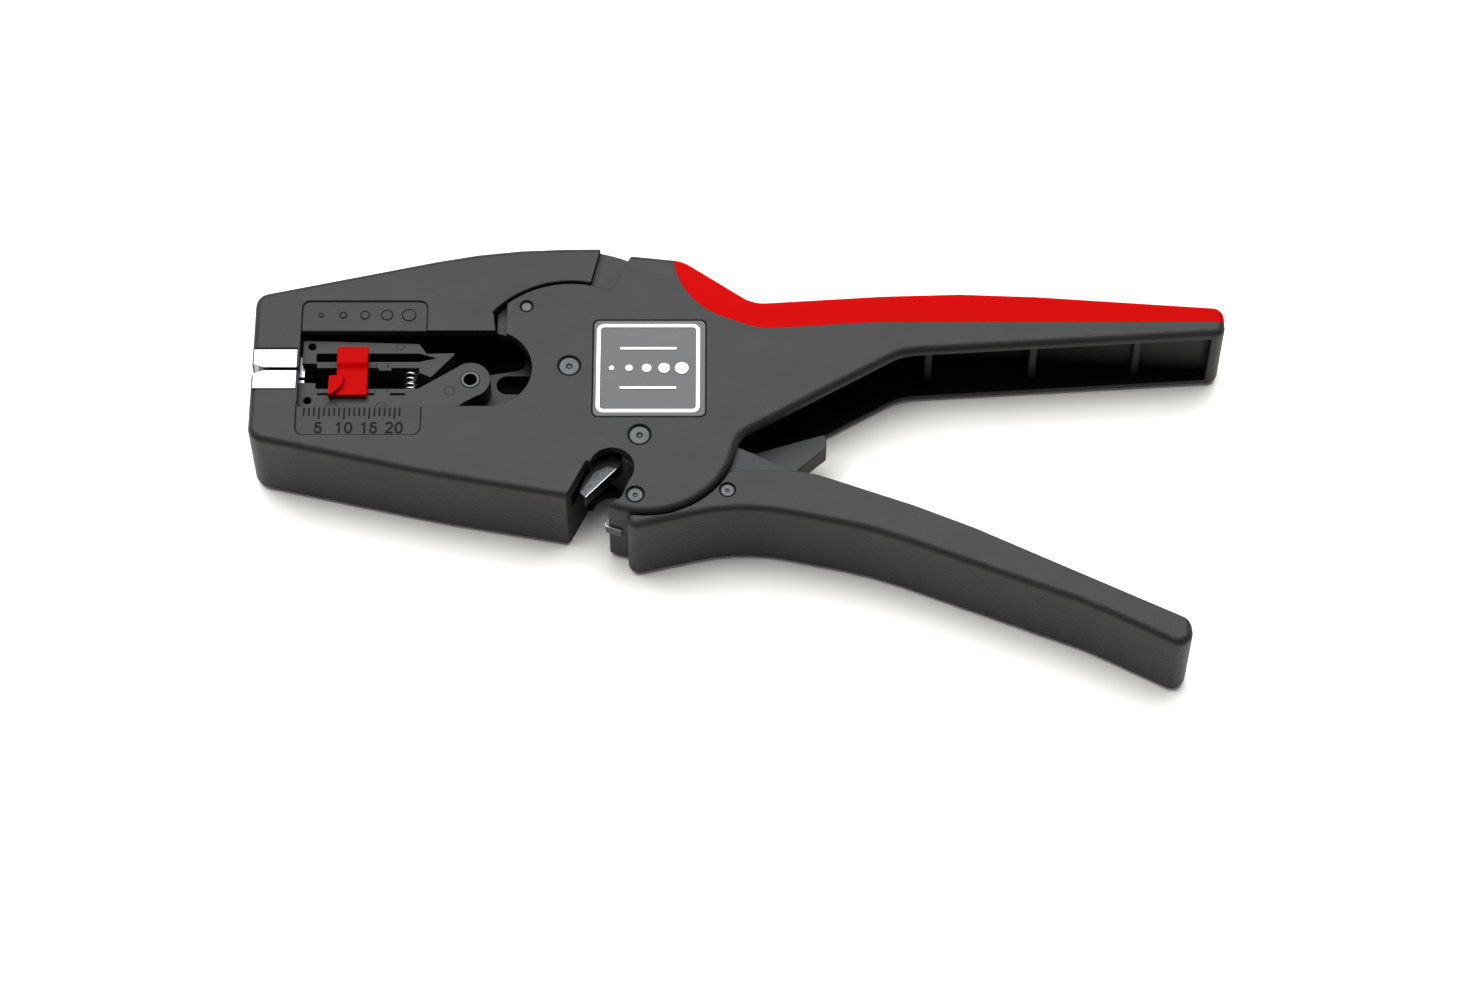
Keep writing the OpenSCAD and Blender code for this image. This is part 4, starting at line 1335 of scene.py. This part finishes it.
@dataclass(frozen=True)
class LabelPrint:
    """White frame, two rules and growing dots, a plain sign for wire sizes, on the label plate.

    Args:
        palette: The finishes.
        centre: Middle of the plate in the drawing, in mm.
        side: Outer side of the frame, in mm.
        line: Width of the frame's line, in mm.
        corner: Radius of the frame's corners along the line's middle, in mm.
        corner_points: Number of points along a corner.
        rule_rise: How far the rules lie over and under the middle, in mm.
        rule_reach: Half the length of a rule, in mm.
        rule_line: Width of a rule, in mm.
        dots: Number of dots.
        dot_start: X of the first dot from the middle, in mm.
        dot_step: Spacing of the dots, in mm.
        dot_radius: Radius of the first dot, in mm.
        dot_growth: Share of the first radius that each dot adds.
        dot_sides: Sides of a dot's outline.
        root: How deep the print's body reaches into the plate, in mm.
        film: Thickness of the print over the face, in mm.
    """

    palette: Palette
    centre: Pair = (1.55, 15.4)
    side: float = 20.6
    line: float = 0.72
    corner: float = 1.1
    corner_points: int = 7
    rule_rise: float = 4.6
    rule_reach: float = 5.6
    rule_line: float = 0.5
    dots: int = 5
    dot_start: float = -7.3
    dot_step: float = 3.5
    dot_radius: float = 0.5
    dot_growth: float = 0.42
    dot_sides: int = 40
    root: float = 0.1
    film: float = 0.03

    def build(self) -> None:
        """Makes the frame with its rules, and the dots."""
        low, high = DATUM.thick - self.root, DATUM.thick + self.film
        cx, cy = self.centre
        bm = bmesh.new()
        stroke(bm, self.frame_line(), self.line, low, high, looped=True)
        for y in (cy + self.rule_rise, cy - self.rule_rise):
            stroke(bm, ((cx - self.rule_reach, y), (cx + self.rule_reach, y)), self.rule_line, low, high)
        place(solid("label_frame", bm, self.palette[Finish.PRINT]), Body.HOUSING, Slot.LABEL)
        dots = StudTree().run("label_dots", self.palette[Finish.PRINT], {
            "Count": self.dots, "Sides": self.dot_sides, "Step": self.dot_step * MM,
            "Start": DATUM.at(cx + self.dot_start, cy, (low + high) / 2), "Radius": self.dot_radius * MM,
            "Growth": self.dot_growth, "Height": (high - low) * MM})
        place(dots, Body.HOUSING, Slot.LABEL)

    def frame_line(self) -> list[Pair]:
        """Runs round the middle of the frame's line.

        Returns:
            The points, all of them on the round corners.
        """
        half = (self.side - self.line) / 2 - self.corner
        turn = 90 / (self.corner_points - 1)
        line = []
        for quarter, (sx, sy) in enumerate(((1, 1), (-1, 1), (-1, -1), (1, -1))):
            middle = (self.centre[0] + sx * half, self.centre[1] + sy * half)
            line += arc(middle, (self.corner, self.corner), 90.0 * quarter, turn, self.corner_points)
        return line


@dataclass(frozen=True)
class JawField:
    """The sunk field over the window with a row of growing studs, a plain sign for wire sizes.

    Args:
        palette: The finishes.
        start: Middle of the first stud, in mm.
        step: Spacing of the studs, in mm.
        floor: Height of the sunk field, in mm.
        proud: Height of the studs over it, in mm.
        count: How many studs there are.
        radius: Radius of the first stud, in mm.
        growth: Share of the first radius that each stud adds.
        sides: Sides of a stud's outline.
        line: Width of the painted shade line round a stud, in mm.
        line_sides: Sides of that line.
        line_root: How deep the line's body reaches into the field, in mm.
        line_proud: How far the line rises out of the field, in mm.
    """

    palette: Palette
    start: Pair = (-64.2, 28.0)
    step: float = 4.4
    floor: float = DATUM.floor
    proud: float = 0.08
    count: int = 5
    radius: float = 0.42
    growth: float = 0.55
    sides: int = 36
    line: float = 0.24
    line_sides: int = 30
    line_root: float = 0.05
    line_proud: float = 0.12

    def build(self) -> None:
        """Makes the studs and the painted shade lines round them."""
        studs = StudTree().run("jaw_field_studs", self.palette[Finish.BODY], {
            "Count": self.count, "Sides": self.sides, "Step": self.step * MM,
            "Start": DATUM.at(*self.start, self.floor), "Radius": self.radius * MM, "Growth": self.growth,
            "Height": 2 * self.proud * MM})
        place(studs, Body.JAW, Slot.BODY)
        bm = bmesh.new()
        for i in range(self.count):
            centre = (self.start[0] + self.step * i, self.start[1])
            circle = ring(centre, self.radius * (1 + self.growth * i), self.line_sides)
            stroke(bm, circle, self.line, self.floor - self.line_root, self.floor + self.line_proud,
                   looped=True)
        place(solid("jaw_field_stud_edges", bm, self.palette[Finish.MARK]), Body.JAW, Slot.BODY)


@dataclass(frozen=True)
class ArmMarks:
    """Detent ridges in the upper arm's slot, ejector rings on the arms and the ends of their raised bars.

    Args:
        palette: The finishes.
        slot_top: Y of the slot's upper wall, in mm.
        slot_start: X where the ridges begin, in mm.
        slot_middle: Height of the middle of the slot's wall, in mm.
        ridges: Number of ridges.
        ridge_step: Spacing of the ridges, in mm.
        ridge_root: How deep a ridge's body reaches into the wall, in mm.
        ridge: How far a ridge stands out of the wall, in mm.
        ridge_height: Height of a ridge along the wall, in mm.
        face: Height of the arms' face, in mm.
        root: How deep the marks' bodies reach into the face, in mm.
        film: How far the marks rise over the face, in mm.
        ring_line: Width of the rings' line, in mm.
        ring_sides: Sides of a ring.
        upper_rings: Centre and radius of the rings on the upper arm, in mm.
        lower_rings: Centre and radius of the rings on the lower arm, in mm.
        bar_line: Width of the lines at the bars' ends, in mm.
        bar_ends: X of these lines, in mm.
        upper_bar: Lower and upper end of the lines on the upper arm, in mm.
        lower_bar: Lower and upper end of the lines on the lower arm, in mm.
    """

    palette: Palette
    slot_top: float = 20.3
    slot_start: float = -64.3
    slot_middle: float = 15.0
    ridges: int = 25
    ridge_step: float = 0.75
    ridge_root: float = 0.2
    ridge: float = 0.13
    ridge_height: float = 4.6
    face: float = 17.5
    root: float = 0.05
    film: float = 0.02
    ring_line: float = 0.1
    ring_sides: int = 30
    upper_rings: tuple[tuple[Pair, float], ...] = (((-48.2, 22.0), 0.75),)
    lower_rings: tuple[tuple[Pair, float], ...] = (
        ((-38.1, 11.6), 1.05), ((-61.5, 7.6), 1.2), ((-51.6, 7.6), 1.2))
    bar_line: float = 0.16
    bar_ends: Pair = (-52.9, -50.5)
    upper_bar: Pair = (16.9, 18.0)
    lower_bar: Pair = (11.25, 12.4)

    def build(self) -> None:
        """Makes the ridges, and the rings and lines of each arm."""
        ridges = ToothTree().run("detent_ridges", self.palette[Finish.ARM], {
            "Count": self.ridges, "Step": self.ridge_step * MM,
            "Start": DATUM.at(self.slot_start, self.slot_top + self.ridge_root, self.slot_middle),
            "Half": (self.ridge_root + self.ridge) * MM, "Height": self.ridge_height * MM})
        place(ridges, Body.UPPER_ARM, Slot.ARM)
        low, high = self.face - self.root, self.face + self.film
        for name, body, rings, bar in (
                ("upper_arm_marks", Body.UPPER_ARM, self.upper_rings, self.upper_bar),
                ("lower_arm_marks", Body.LOWER_ARM, self.lower_rings, self.lower_bar)):
            bm = bmesh.new()
            for centre, radius in rings:
                stroke(bm, ring(centre, radius, self.ring_sides), self.ring_line, low, high, looped=True)
            for x in self.bar_ends:
                stroke(bm, [(x, y) for y in bar], self.bar_line, low, high)
            place(solid(name, bm, self.palette[Finish.MARK]), body, Slot.ARM)


@dataclass(frozen=True)
class PinSeat:
    """The seat of a pin's head.

    Args:
        body: The body that has the seat.
        centre: Its middle, in mm.
        radius: Radius of the pin, in mm.
    """

    body: Body
    centre: Pair
    radius: float


@dataclass(frozen=True)
class Seams:
    """Painted shade: dark lines where a wall, a gripper or a pin meets its neighbour, in place of the shade
    in the gap.

    Args:
        palette: The finishes.
        bed_line: Width of the gaps between each gripper and its plastic bed, in mm.
        bed_root: How deep these gaps' bodies reach into the face, in mm.
        beds: The body with each of these gaps, and its Y, in mm.
        bed_span: X of their ends, in mm.
        film: How far a line rises over the tool's face, in mm.
        bite: Y of the painted shade layer on the upper gripping face, in mm.
        bite_span: X of the layer's ends, in mm.
        bite_line: Thickness of the layer, in mm.
        bite_sunk: How deep the layer ends under the tool's face, in mm.
        floor: Height of the sunk fields, in mm.
        field_line: Width of the lines round the fields, in mm.
        jaw_field: Line round the field over the window, in mm.
        scale_field: Line round the field under the window, in mm.
        seat: Depth of the pin seats under the faces, in mm.
        gap: Width of the gap round a pin's head, in mm.
        gap_play: How much narrower than the gap its line is, in mm.
        gap_sides: Sides of that line.
        root: Half the height of the lines in the fields and the gaps, in mm.
        pins: The seats of the pins' heads.
    """

    palette: Palette
    bed_line: float = 0.34
    bed_root: float = 0.4
    beds: tuple[tuple[Body, float], ...] = ((Body.JAW, 20.05), (Body.HOUSING, 10.55))
    bed_span: Pair = (-77.1, -68.5)
    film: float = 0.02
    bite: float = 15.59
    bite_span: Pair = (-73.6, -68.7)
    bite_line: float = 0.06
    bite_sunk: float = 0.27
    floor: float = DATUM.floor
    field_line: float = 0.26
    jaw_field: tuple[Pair, ...] = (
        (-67.97, 24.3), (-67.97, 29.9), (-67.6, 30.8), (-66.7, 31.17),
        (-44.3, 31.17), (-43.4, 30.8), (-42.93, 29.9), (-42.93, 24.3))
    scale_field: tuple[Pair, ...] = (
        (-68.17, 6.5), (-68.17, 1.4), (-67.8, 0.5), (-66.9, 0.03),
        (-44.8, 0.03), (-43.9, 0.5), (-43.43, 1.4), (-43.43, 6.5))
    seat: float = 0.5
    gap: float = 0.35
    gap_play: float = 0.04
    gap_sides: int = 36
    root: float = 0.05
    pins: tuple[PinSeat, ...] = (
        PinSeat(Body.HOUSING, (-14.2, 16.0), 2.0),
        PinSeat(Body.HOUSING, (0.0, 0.0), 2.0),
        PinSeat(Body.HOUSING, (-23.01, 30.0), 1.0),
        PinSeat(Body.HOUSING, (-0.7, -13.6), 1.5),
        PinSeat(Body.HANDLE, (17.4, -12.6), 1.3),
    )

    def build(self) -> None:
        """Makes the painted shade lines."""
        self.build_gripper_gaps()
        self.build_field_edges()
        self.build_pin_gaps()

    def build_gripper_gaps(self) -> None:
        """Painted shade lines beside the grippers, and the painted shade layer between them."""
        for body, y in self.beds:
            bm = bmesh.new()
            stroke(bm, [(x, y) for x in self.bed_span], self.bed_line,
                   DATUM.thick - self.bed_root, DATUM.thick + self.film)
            place(solid(f"{body.value}_gripper_gap", bm, self.palette[Finish.MARK]), body, Slot.BODY)
        bm = bmesh.new()
        stroke(bm, [(x, self.bite) for x in self.bite_span], self.bite_line,
               self.seat, DATUM.thick - self.bite_sunk)
        place(solid("upper_gripping_face", bm, self.palette[Finish.MARK]), Body.JAW, Slot.POLISHED)

    def build_field_edges(self) -> None:
        """Painted shade lines round the sunk fields."""
        for name, body, line in (
                ("jaw_field_edge", Body.JAW, self.jaw_field),
                ("scale_field_edge", Body.HOUSING, self.scale_field)):
            bm = bmesh.new()
            stroke(bm, line, self.field_line, self.floor - self.root, self.floor + self.root)
            place(solid(name, bm, self.palette[Finish.MARK]), body, Slot.BODY)

    def build_pin_gaps(self) -> None:
        """Painted shade lines round the pins' heads on both faces."""
        for body in (Body.HOUSING, Body.HANDLE):
            bm = bmesh.new()
            for pin in [pin for pin in self.pins if pin.body is body]:
                circle = ring(pin.centre, pin.radius + self.gap / 2, self.gap_sides)
                for z in (self.seat, DATUM.thick - self.seat):
                    stroke(bm, circle, self.gap - self.gap_play, z - self.root, z + self.root, looped=True)
            place(solid(f"{body.value}_pin_gaps", bm, self.palette[Finish.MARK]), body, Slot.BODY)


@dataclass(frozen=True)
class CutterEdges:
    """Ground bevel and honed edges of the two cutter blades.

    Args:
        palette: The finishes.
        top: Height of the moving blade's upper face, in mm.
        back: Height of the moving blade's lower face, in mm.
        bevel: Outline of the moving blade's ground bevel, in mm.
        bevel_root: How deep the bevel's body reaches into the face, in mm.
        moving: The moving blade's cutting edge, in mm.
        moving_root: How deep the edge's body reaches under the face, in mm.
        fixed: The fixed blade's lower corner along the chin, in mm.
        fixed_top: Height of the fixed blade's upper face, in mm.
        thread: Width of the moving blade's honed edge, in mm.
        fixed_thread: Width of the fixed blade's edge, in mm.
        fixed_root: How deep that edge's body reaches under the face, in mm.
        film: How far the bevel stands over the moving blade's face, in mm.
        edge_film: How far the honed edge stands over that face, in mm.
    """

    palette: Palette
    top: float = 15.7
    back: float = 12.1
    bevel: tuple[Pair, ...] = (
        (-10.6, -11.84), (-4.6, -5.33), (-6.4, -4.9), (-8.9, -6.2), (-11.7, -10.86))
    bevel_root: float = 0.05
    moving: tuple[Pair, Pair] = ((-4.6, -5.33), (-10.57, -11.81))
    moving_root: float = 0.1
    fixed: tuple[Pair, ...] = ((-6.75, -15.6), (-6.6, -16.25), (-3.5, -17.4))
    fixed_top: float = 12.0
    thread: float = 0.09
    fixed_thread: float = 0.063
    fixed_root: float = 0.18
    film: float = 0.02
    edge_film: float = 0.04

    def build(self) -> None:
        """Makes the bevel and the edges."""
        bm = bmesh.new()
        prism(bm, self.bevel, self.top - self.bevel_root, self.top + self.film)
        place(solid("moving_cutter_bevel", bm, self.palette[Finish.BEVEL]), Body.HANDLE, Slot.BLADE)
        bm = bmesh.new()
        stroke(bm, self.moving, self.thread, self.top - self.moving_root, self.top + self.edge_film)
        x, y = self.moving[-1]
        stroke(bm, ((x, y), (x - self.thread, y)), self.thread, self.back, self.top)
        place(solid("moving_cutter_edge", bm, self.palette[Finish.EDGE]), Body.HANDLE, Slot.BLADE)
        bm = bmesh.new()
        stroke(bm, self.fixed, self.fixed_thread, self.fixed_top - self.fixed_root, self.fixed_top)
        place(solid("fixed_cutter_edge", bm, self.palette[Finish.EDGE]), Body.HOUSING, Slot.BLADE)


@dataclass(frozen=True)
class Spring:
    """One compression spring.

    Args:
        node: The CAD node that it stands for.
        body: The body that its held end rides on.
        held: End that stays with the body, in the drawing, in mm.
        free: The other end, in mm.
        radius: Radius of the coil's middle line, in mm.
        wire: Radius of the wire, in mm.
        turns: Number of turns.
        joint: The joint that presses it, if one does. Not used.
        keep: Share of its length at the joint's limit. Not used.
        far: The body that its free end follows, where no joint presses it.
        crease: Angle above which the wire's shading stays sharp, in degrees.
    """

    node: str
    body: Body
    held: Triple
    free: Triple
    radius: float
    wire: float
    turns: float
    joint: str | None = None
    keep: float = 1.0
    far: Body | None = None
    crease: float = 60.0

    def build(self, tree: CoilTree, material: bpy.types.Material) -> None:
        """Makes the spring between its ends.

        Args:
            tree: The tree that winds the wire.
            material: Finish of the wire.
        """
        held, free = DATUM.at(*self.held), DATUM.at(*self.free)
        way = free - held
        piece = tree.run(f"{self.node}_wire", material, {
            "Turns": self.turns, "Radius": self.radius * MM, "Wire": self.wire * MM, "Length": way.length,
            "Place": held, "Turn": way.to_track_quat("Z", "Y").to_euler()}, self.crease)
        if self.far is not None:
            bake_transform(piece, self.body.value, self.far.value, tuple(held), tuple(free))
            declare([self.node])
            return
        place(piece, self.body, Slot.SPRING, [self.node])
        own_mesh(piece)


@dataclass(frozen=True)
class Springs:
    """The three springs.

    Args:
        palette: The finishes.
        jaw_pivot: The jaw's pivot, in mm.
        jaw_seat: Distance of the jaw spring's ends from that pivot, in mm.
        jaw_angles: Angles of the jaw spring's held and free end round it, in degrees.
        jaw_height: Height of the jaw spring's middle line, in mm.
        return_ends: X of the return spring's held and free end, in mm.
        return_place: Y and height of the return spring's middle line, in mm.
        arm_x: X of the arm spring, in mm.
        arm_ends: Y of its held and free end, in mm.
        arm_height: Height of its middle line, in mm.
    """

    palette: Palette
    jaw_pivot: Pair = (-14.2, 16.0)
    jaw_seat: float = 24.4
    jaw_angles: Pair = (58.6, 42.6)
    jaw_height: float = 10.0
    return_ends: Pair = (8.98, -9.48)
    return_place: Pair = (17.0, 10.3)
    arm_x: float = -45.9
    arm_ends: Pair = (16.88, 12.26)
    arm_height: float = 15.7

    def build(self) -> None:
        """Makes the springs."""
        tree = CoilTree()
        for spring in (self.jaw_spring(), self.return_spring(), self.arm_spring()):
            spring.build(tree, self.palette[Finish.SPRING])

    def jaw_spring(self) -> Spring:
        """The spring in the shoulder, which presses the jaw shut.

        Returns:
            Its sizes.
        """
        held, free = ((*polar(self.jaw_pivot, self.jaw_seat, a), self.jaw_height) for a in self.jaw_angles)
        return Spring("jaw_spring", Body.JAW, held, free, radius=1.9, wire=0.3, turns=5,
                      joint="upper_jaw_swing", keep=0.44)

    def return_spring(self) -> Spring:
        """The spring behind the drawbar, which opens the handle.

        Returns:
            Its sizes.
        """
        held, free = ((x, *self.return_place) for x in self.return_ends)
        return Spring("return_spring", Body.HOUSING, held, free, radius=1.8, wire=0.35, turns=8,
                      joint="carriage_pull", keep=0.37)

    def arm_spring(self) -> Spring:
        """The spring that parts the blade arms.

        Returns:
            Its sizes.
        """
        held, free = ((self.arm_x, y, self.arm_height) for y in self.arm_ends)
        return Spring("arm_spring", Body.UPPER_ARM, held, free, radius=1.25, wire=0.22, turns=4,
                      far=Body.CARRIAGE)


# The stage


@dataclass(frozen=True)
class SoftBox:
    """An area light that points at the tool.

    Args:
        name: Its name.
        spot: Its place, in metres.
        power: Its power, in watts.
        size: Its width and height, in metres.
    """

    name: str
    spot: Triple
    power: float
    size: Pair


@dataclass(frozen=True)
class Studio:
    """Floor, lights and camera.

    Args:
        palette: The finishes.
        floor_size: Side of the floor, in metres.
        floor_drop: How far the floor lies under the tool's back face, in mm.
        elevation: The camera's height over the horizon, in degrees.
        distance: From the camera to what it looks at, in mm.
        lens: Focal length, in mm.
        sensor: Width of the camera's sensor, in mm.
        target: What the camera looks at, in mm.
        surround: Strength of the even light from all sides.
        lights: The soft boxes.
    """

    palette: Palette
    floor_size: float = 4.0
    floor_drop: float = 0.1
    elevation: float = 60.0
    distance: float = 843.1
    lens: float = 105.2
    sensor: float = 36.0
    target: Triple = (-0.74, -10.98, 20.0)
    surround: float = 0.22
    lights: tuple[SoftBox, ...] = (
        SoftBox("top_soft_box", (-0.1, 0.45, 1.1), 41.0, (1.6, 1.3)),
        SoftBox("left_soft_box", (-1.1, 0.3, 0.6), 2.0, (0.6, 0.8)),
    )

    def build(self) -> None:
        """Makes the stage."""
        self.build_floor()
        self.build_lights()
        self.build_camera()

    def build_floor(self) -> None:
        """A flat pale floor under the tool."""
        half, level = self.floor_size / 2, -self.floor_drop * MM
        mesh = bpy.data.meshes.new("floor")
        corners = ((-half, -half), (half, -half), (half, half), (-half, half))
        mesh.from_pydata([(x, y, level) for x, y in corners], [], [(0, 1, 2, 3)])
        object_of("floor", mesh, self.palette[Finish.FLOOR])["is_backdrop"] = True

    def build_lights(self) -> None:
        """Soft boxes and an even surround."""
        for light in self.lights:
            data = bpy.data.lights.new(light.name, "AREA")
            data.energy = light.power
            data.shape = "RECTANGLE"
            data.size, data.size_y = light.size
            lamp = bpy.data.objects.new(light.name, data)
            lamp.location = light.spot
            lamp.rotation_euler = (-Vector(light.spot)).to_track_quat("-Z", "Y").to_euler()
            bpy.context.scene.collection.objects.link(lamp)
        world = bpy.data.worlds.new("studio")
        world.use_nodes = True
        background = world.node_tree.nodes["Background"].inputs
        background["Color"].default_value = (1.0, 1.0, 1.0, 1.0)
        background["Strength"].default_value = self.surround
        bpy.context.scene.world = world
        bpy.context.scene.view_settings.view_transform = "Standard"

    def build_camera(self) -> None:
        """The photograph's camera."""
        data = bpy.data.cameras.new("camera")
        data.sensor_width = self.sensor
        data.lens = self.lens
        camera = bpy.data.objects.new("camera", data)
        tilt = math.radians(self.elevation)
        back = Vector((0.0, -math.cos(tilt), math.sin(tilt)))
        camera.location = Vector(self.target) * MM + back * self.distance * MM
        camera.rotation_euler = (-back).to_track_quat("-Z", "Y").to_euler()
        bpy.context.scene.collection.objects.link(camera)
        bpy.context.scene.camera = camera


def main() -> None:
    """Builds the stage and the looks."""
    logging.basicConfig(level=logging.INFO, format="%(message)s")
    palette = Palette()
    for part in (Studio(palette), Skins(palette), ScaleRule(palette), LabelPrint(palette), JawField(palette),
                 ArmMarks(palette), Seams(palette), CutterEdges(palette), Springs(palette)):
        part.build()
    low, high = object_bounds()
    {"cad": [list(CAD_BOUNDS[0]), list(CAD_BOUNDS[1])], "visual": [list(low), list(high)]}


if __name__ == "__main__":
    main()
